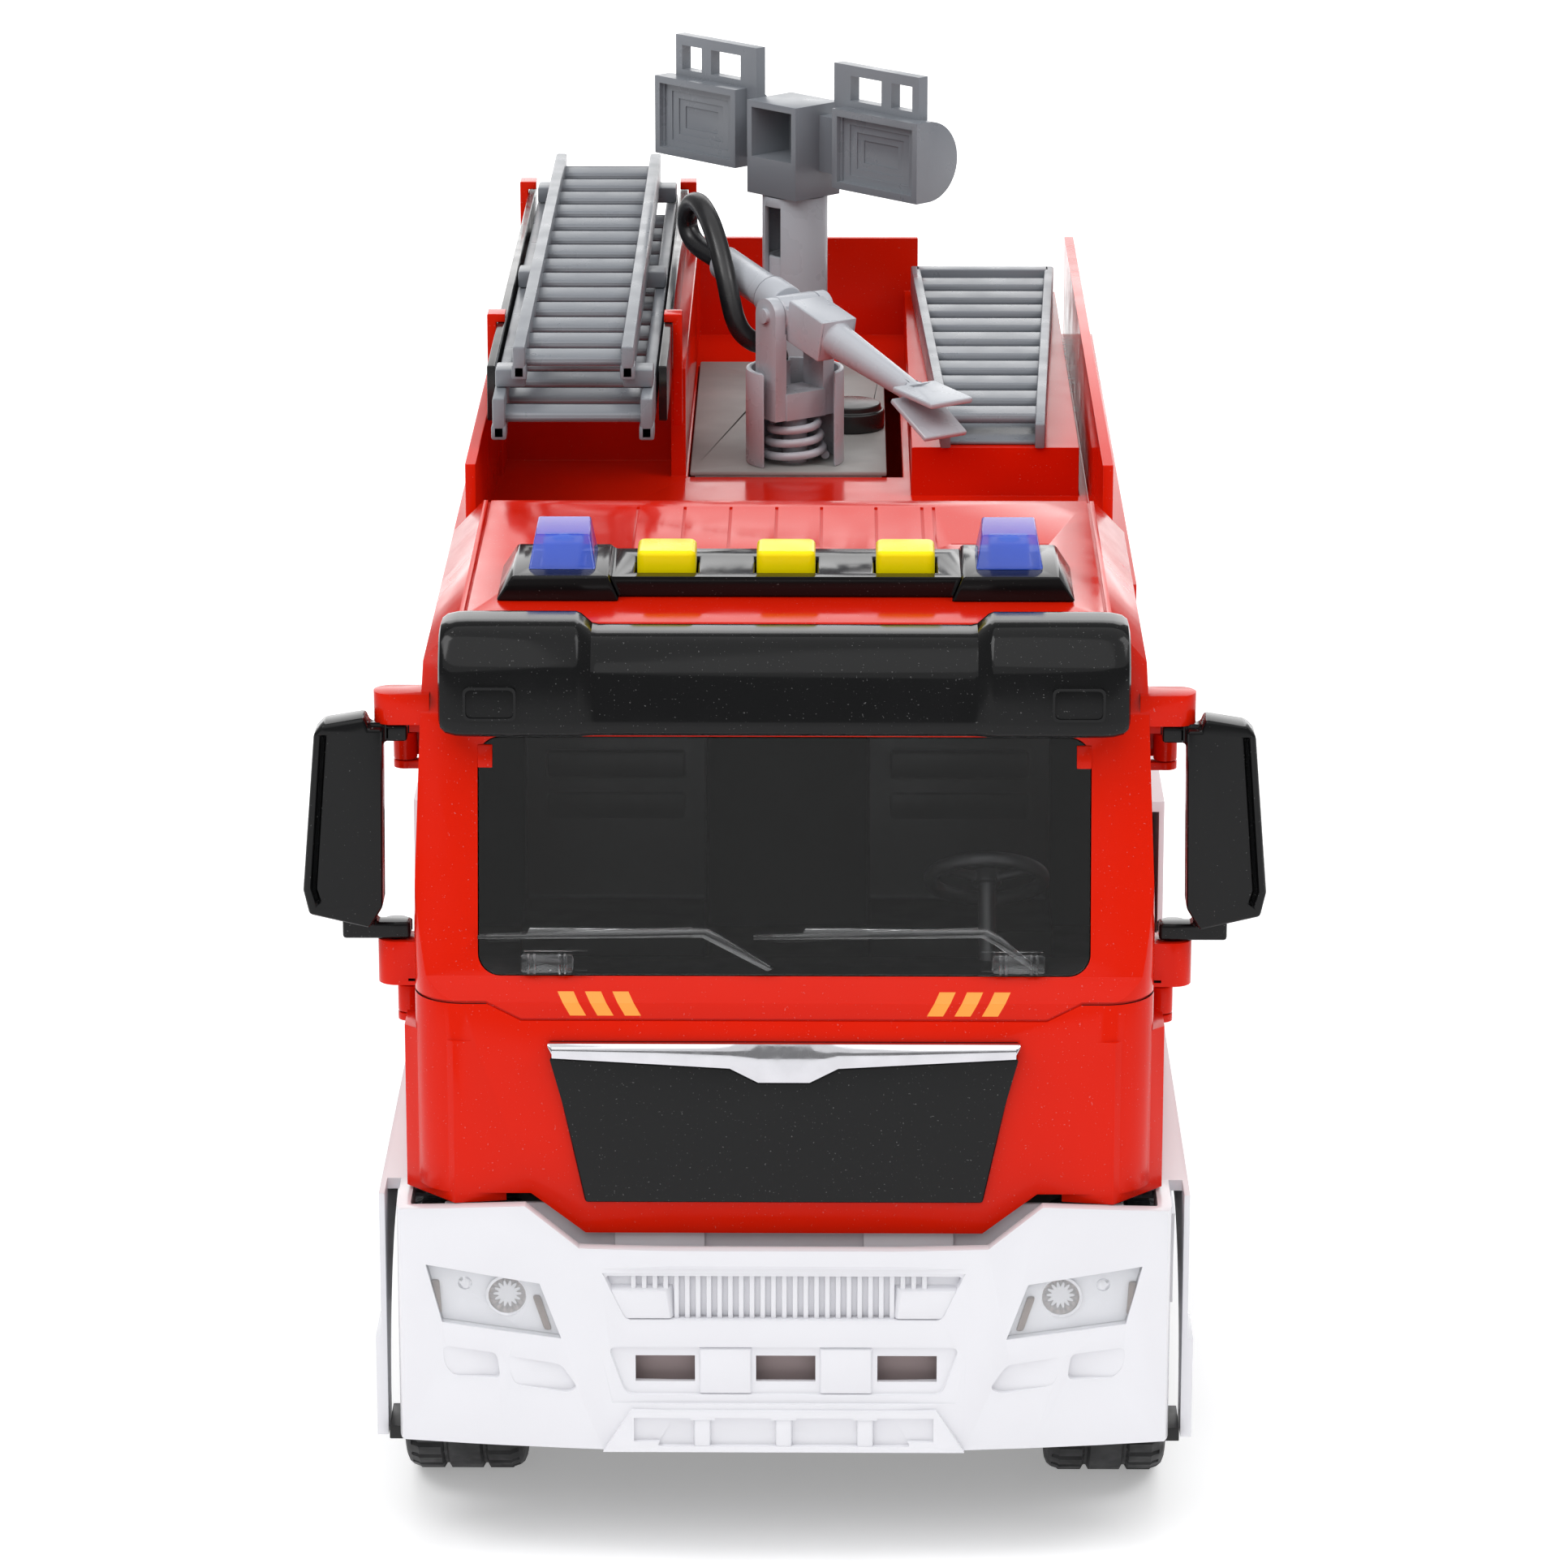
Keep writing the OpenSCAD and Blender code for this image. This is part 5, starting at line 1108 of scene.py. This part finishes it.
class ENGINE_OT_stage(PieceOperator, bpy.types.Operator):
    """Pale floor, soft lights and the camera"""

    bl_idname = "engine.stage"
    bl_label = "Stage"

    def build(self):
        scene = bpy.context.scene
        size = 6.0
        corners = [(-size, -size, 0), (size, -size, 0), (size, size, 0), (-size, size, 0)]
        mesh = bpy.data.meshes.new("floor")
        mesh.from_pydata(corners, [], [(0, 1, 2, 3)])
        floor = bpy.data.objects.new("floor", mesh)
        scene.collection.objects.link(floor)
        material, tree, shader = new_material("pale_floor")
        tone = ramp(tree, noise(tree, 3, 2), 0.3, 0.7, 0.0, 1.0)
        tree.links.new(blend_colours(tree, tone, (0.93, 0.93, 0.94), (0.95, 0.95, 0.955)),
                       shader.inputs["Base Color"])
        shader.inputs["Roughness"].default_value = 0.6
        shader.inputs["Emission Color"].default_value = (1, 1, 1, 1)
        shader.inputs["Emission Strength"].default_value = 0.3
        mesh.materials.append(material)
        world = bpy.data.worlds.new("soft_room")
        world.use_nodes = True
        world.node_tree.nodes["Background"].inputs["Color"].default_value = (1, 1, 1, 1)
        world.node_tree.nodes["Background"].inputs["Strength"].default_value = 0.3
        scene.world = world
        lights = [
            ("top_light", "SUN", (0.1, -0.25, 1.0), math.radians(95), 1.4),
            ("front_light", "SUN", (-0.35, -1.0, 1.0), math.radians(60), 0.58),
            ("key_panel", "AREA", (-0.8, -0.5, 1.2), 0.5, 4),
            ("fill_panel", "AREA", (0.9, -0.4, 1.2), 0.5, 3),
            ("back_panel", "AREA", (0, 1.6, 0.65), 1.3, 9),
        ]
        for name, kind, place, width, power in lights:
            data = bpy.data.lights.new(name, kind)
            if kind == "SUN":
                data.angle = width
            else:
                data.size = width
            data.energy = power
            lamp = bpy.data.objects.new(name, data)
            lamp.location = place
            aim = Vector((0, 0, 0.1)) - Vector(place)
            lamp.rotation_euler = aim.to_track_quat("-Z", "Y").to_euler()
            scene.collection.objects.link(lamp)
            if name == "back_panel":
                data.diffuse_factor = 0.3
                lamp.visible_camera = False
        camera_data = bpy.data.cameras.new("camera")
        camera_data.sensor_width = 36
        camera_data.lens = 146.3
        camera_data.clip_end = 50
        camera = bpy.data.objects.new("camera", camera_data)
        front = CAD_BOX[0][1]
        look_down = math.radians(16.397)
        look_left = math.radians(0.469)
        camera.location = (8.66 * MM, front - 1.05, 0.455)
        camera.rotation_euler = (math.pi / 2 - look_down, 0, look_left)
        scene.collection.objects.link(camera)
        scene.camera = camera
        scene.view_settings.view_transform = "Standard"


OPERATORS = [
    ENGINE_OT_stage, ENGINE_OT_hose, ENGINE_OT_bumper, ENGINE_OT_headlights, ENGINE_OT_cab,
    ENGINE_OT_grille, ENGINE_OT_windscreen, ENGINE_OT_interior, ENGINE_OT_visor, ENGINE_OT_doors,
    ENGINE_OT_mirrors, ENGINE_OT_light_bar, ENGINE_OT_wheels, ENGINE_OT_body, ENGINE_OT_chassis,
    ENGINE_OT_ladders, ENGINE_OT_rack, ENGINE_OT_monitor, ENGINE_OT_mast,
]


class ENGINE_PT_panel(bpy.types.Panel):
    """Lists the settings and the build steps."""

    bl_label = "Fire engine"
    bl_space_type = "VIEW_3D"
    bl_region_type = "UI"
    bl_category = "Fire engine"

    def draw(self, context):
        for name in EngineSettings.__annotations__:
            self.layout.prop(context.scene.fire_engine, name)
        for operator in OPERATORS:
            self.layout.operator(operator.bl_idname)


CLASSES = [EngineSettings, *OPERATORS, ENGINE_PT_panel]


def register():
    for cls in CLASSES:
        bpy.utils.register_class(cls)
    bpy.types.Scene.fire_engine = bpy.props.PointerProperty(type=EngineSettings)


def unregister():
    del bpy.types.Scene.fire_engine
    for cls in reversed(CLASSES):
        bpy.utils.unregister_class(cls)


def main():
    register()
    MATERIALS.update(make_materials())
    for operator in OPERATORS:
        group, action = operator.bl_idname.split(".")
        getattr(getattr(bpy.ops, group), action)()


if __name__ == "__main__":
    main()
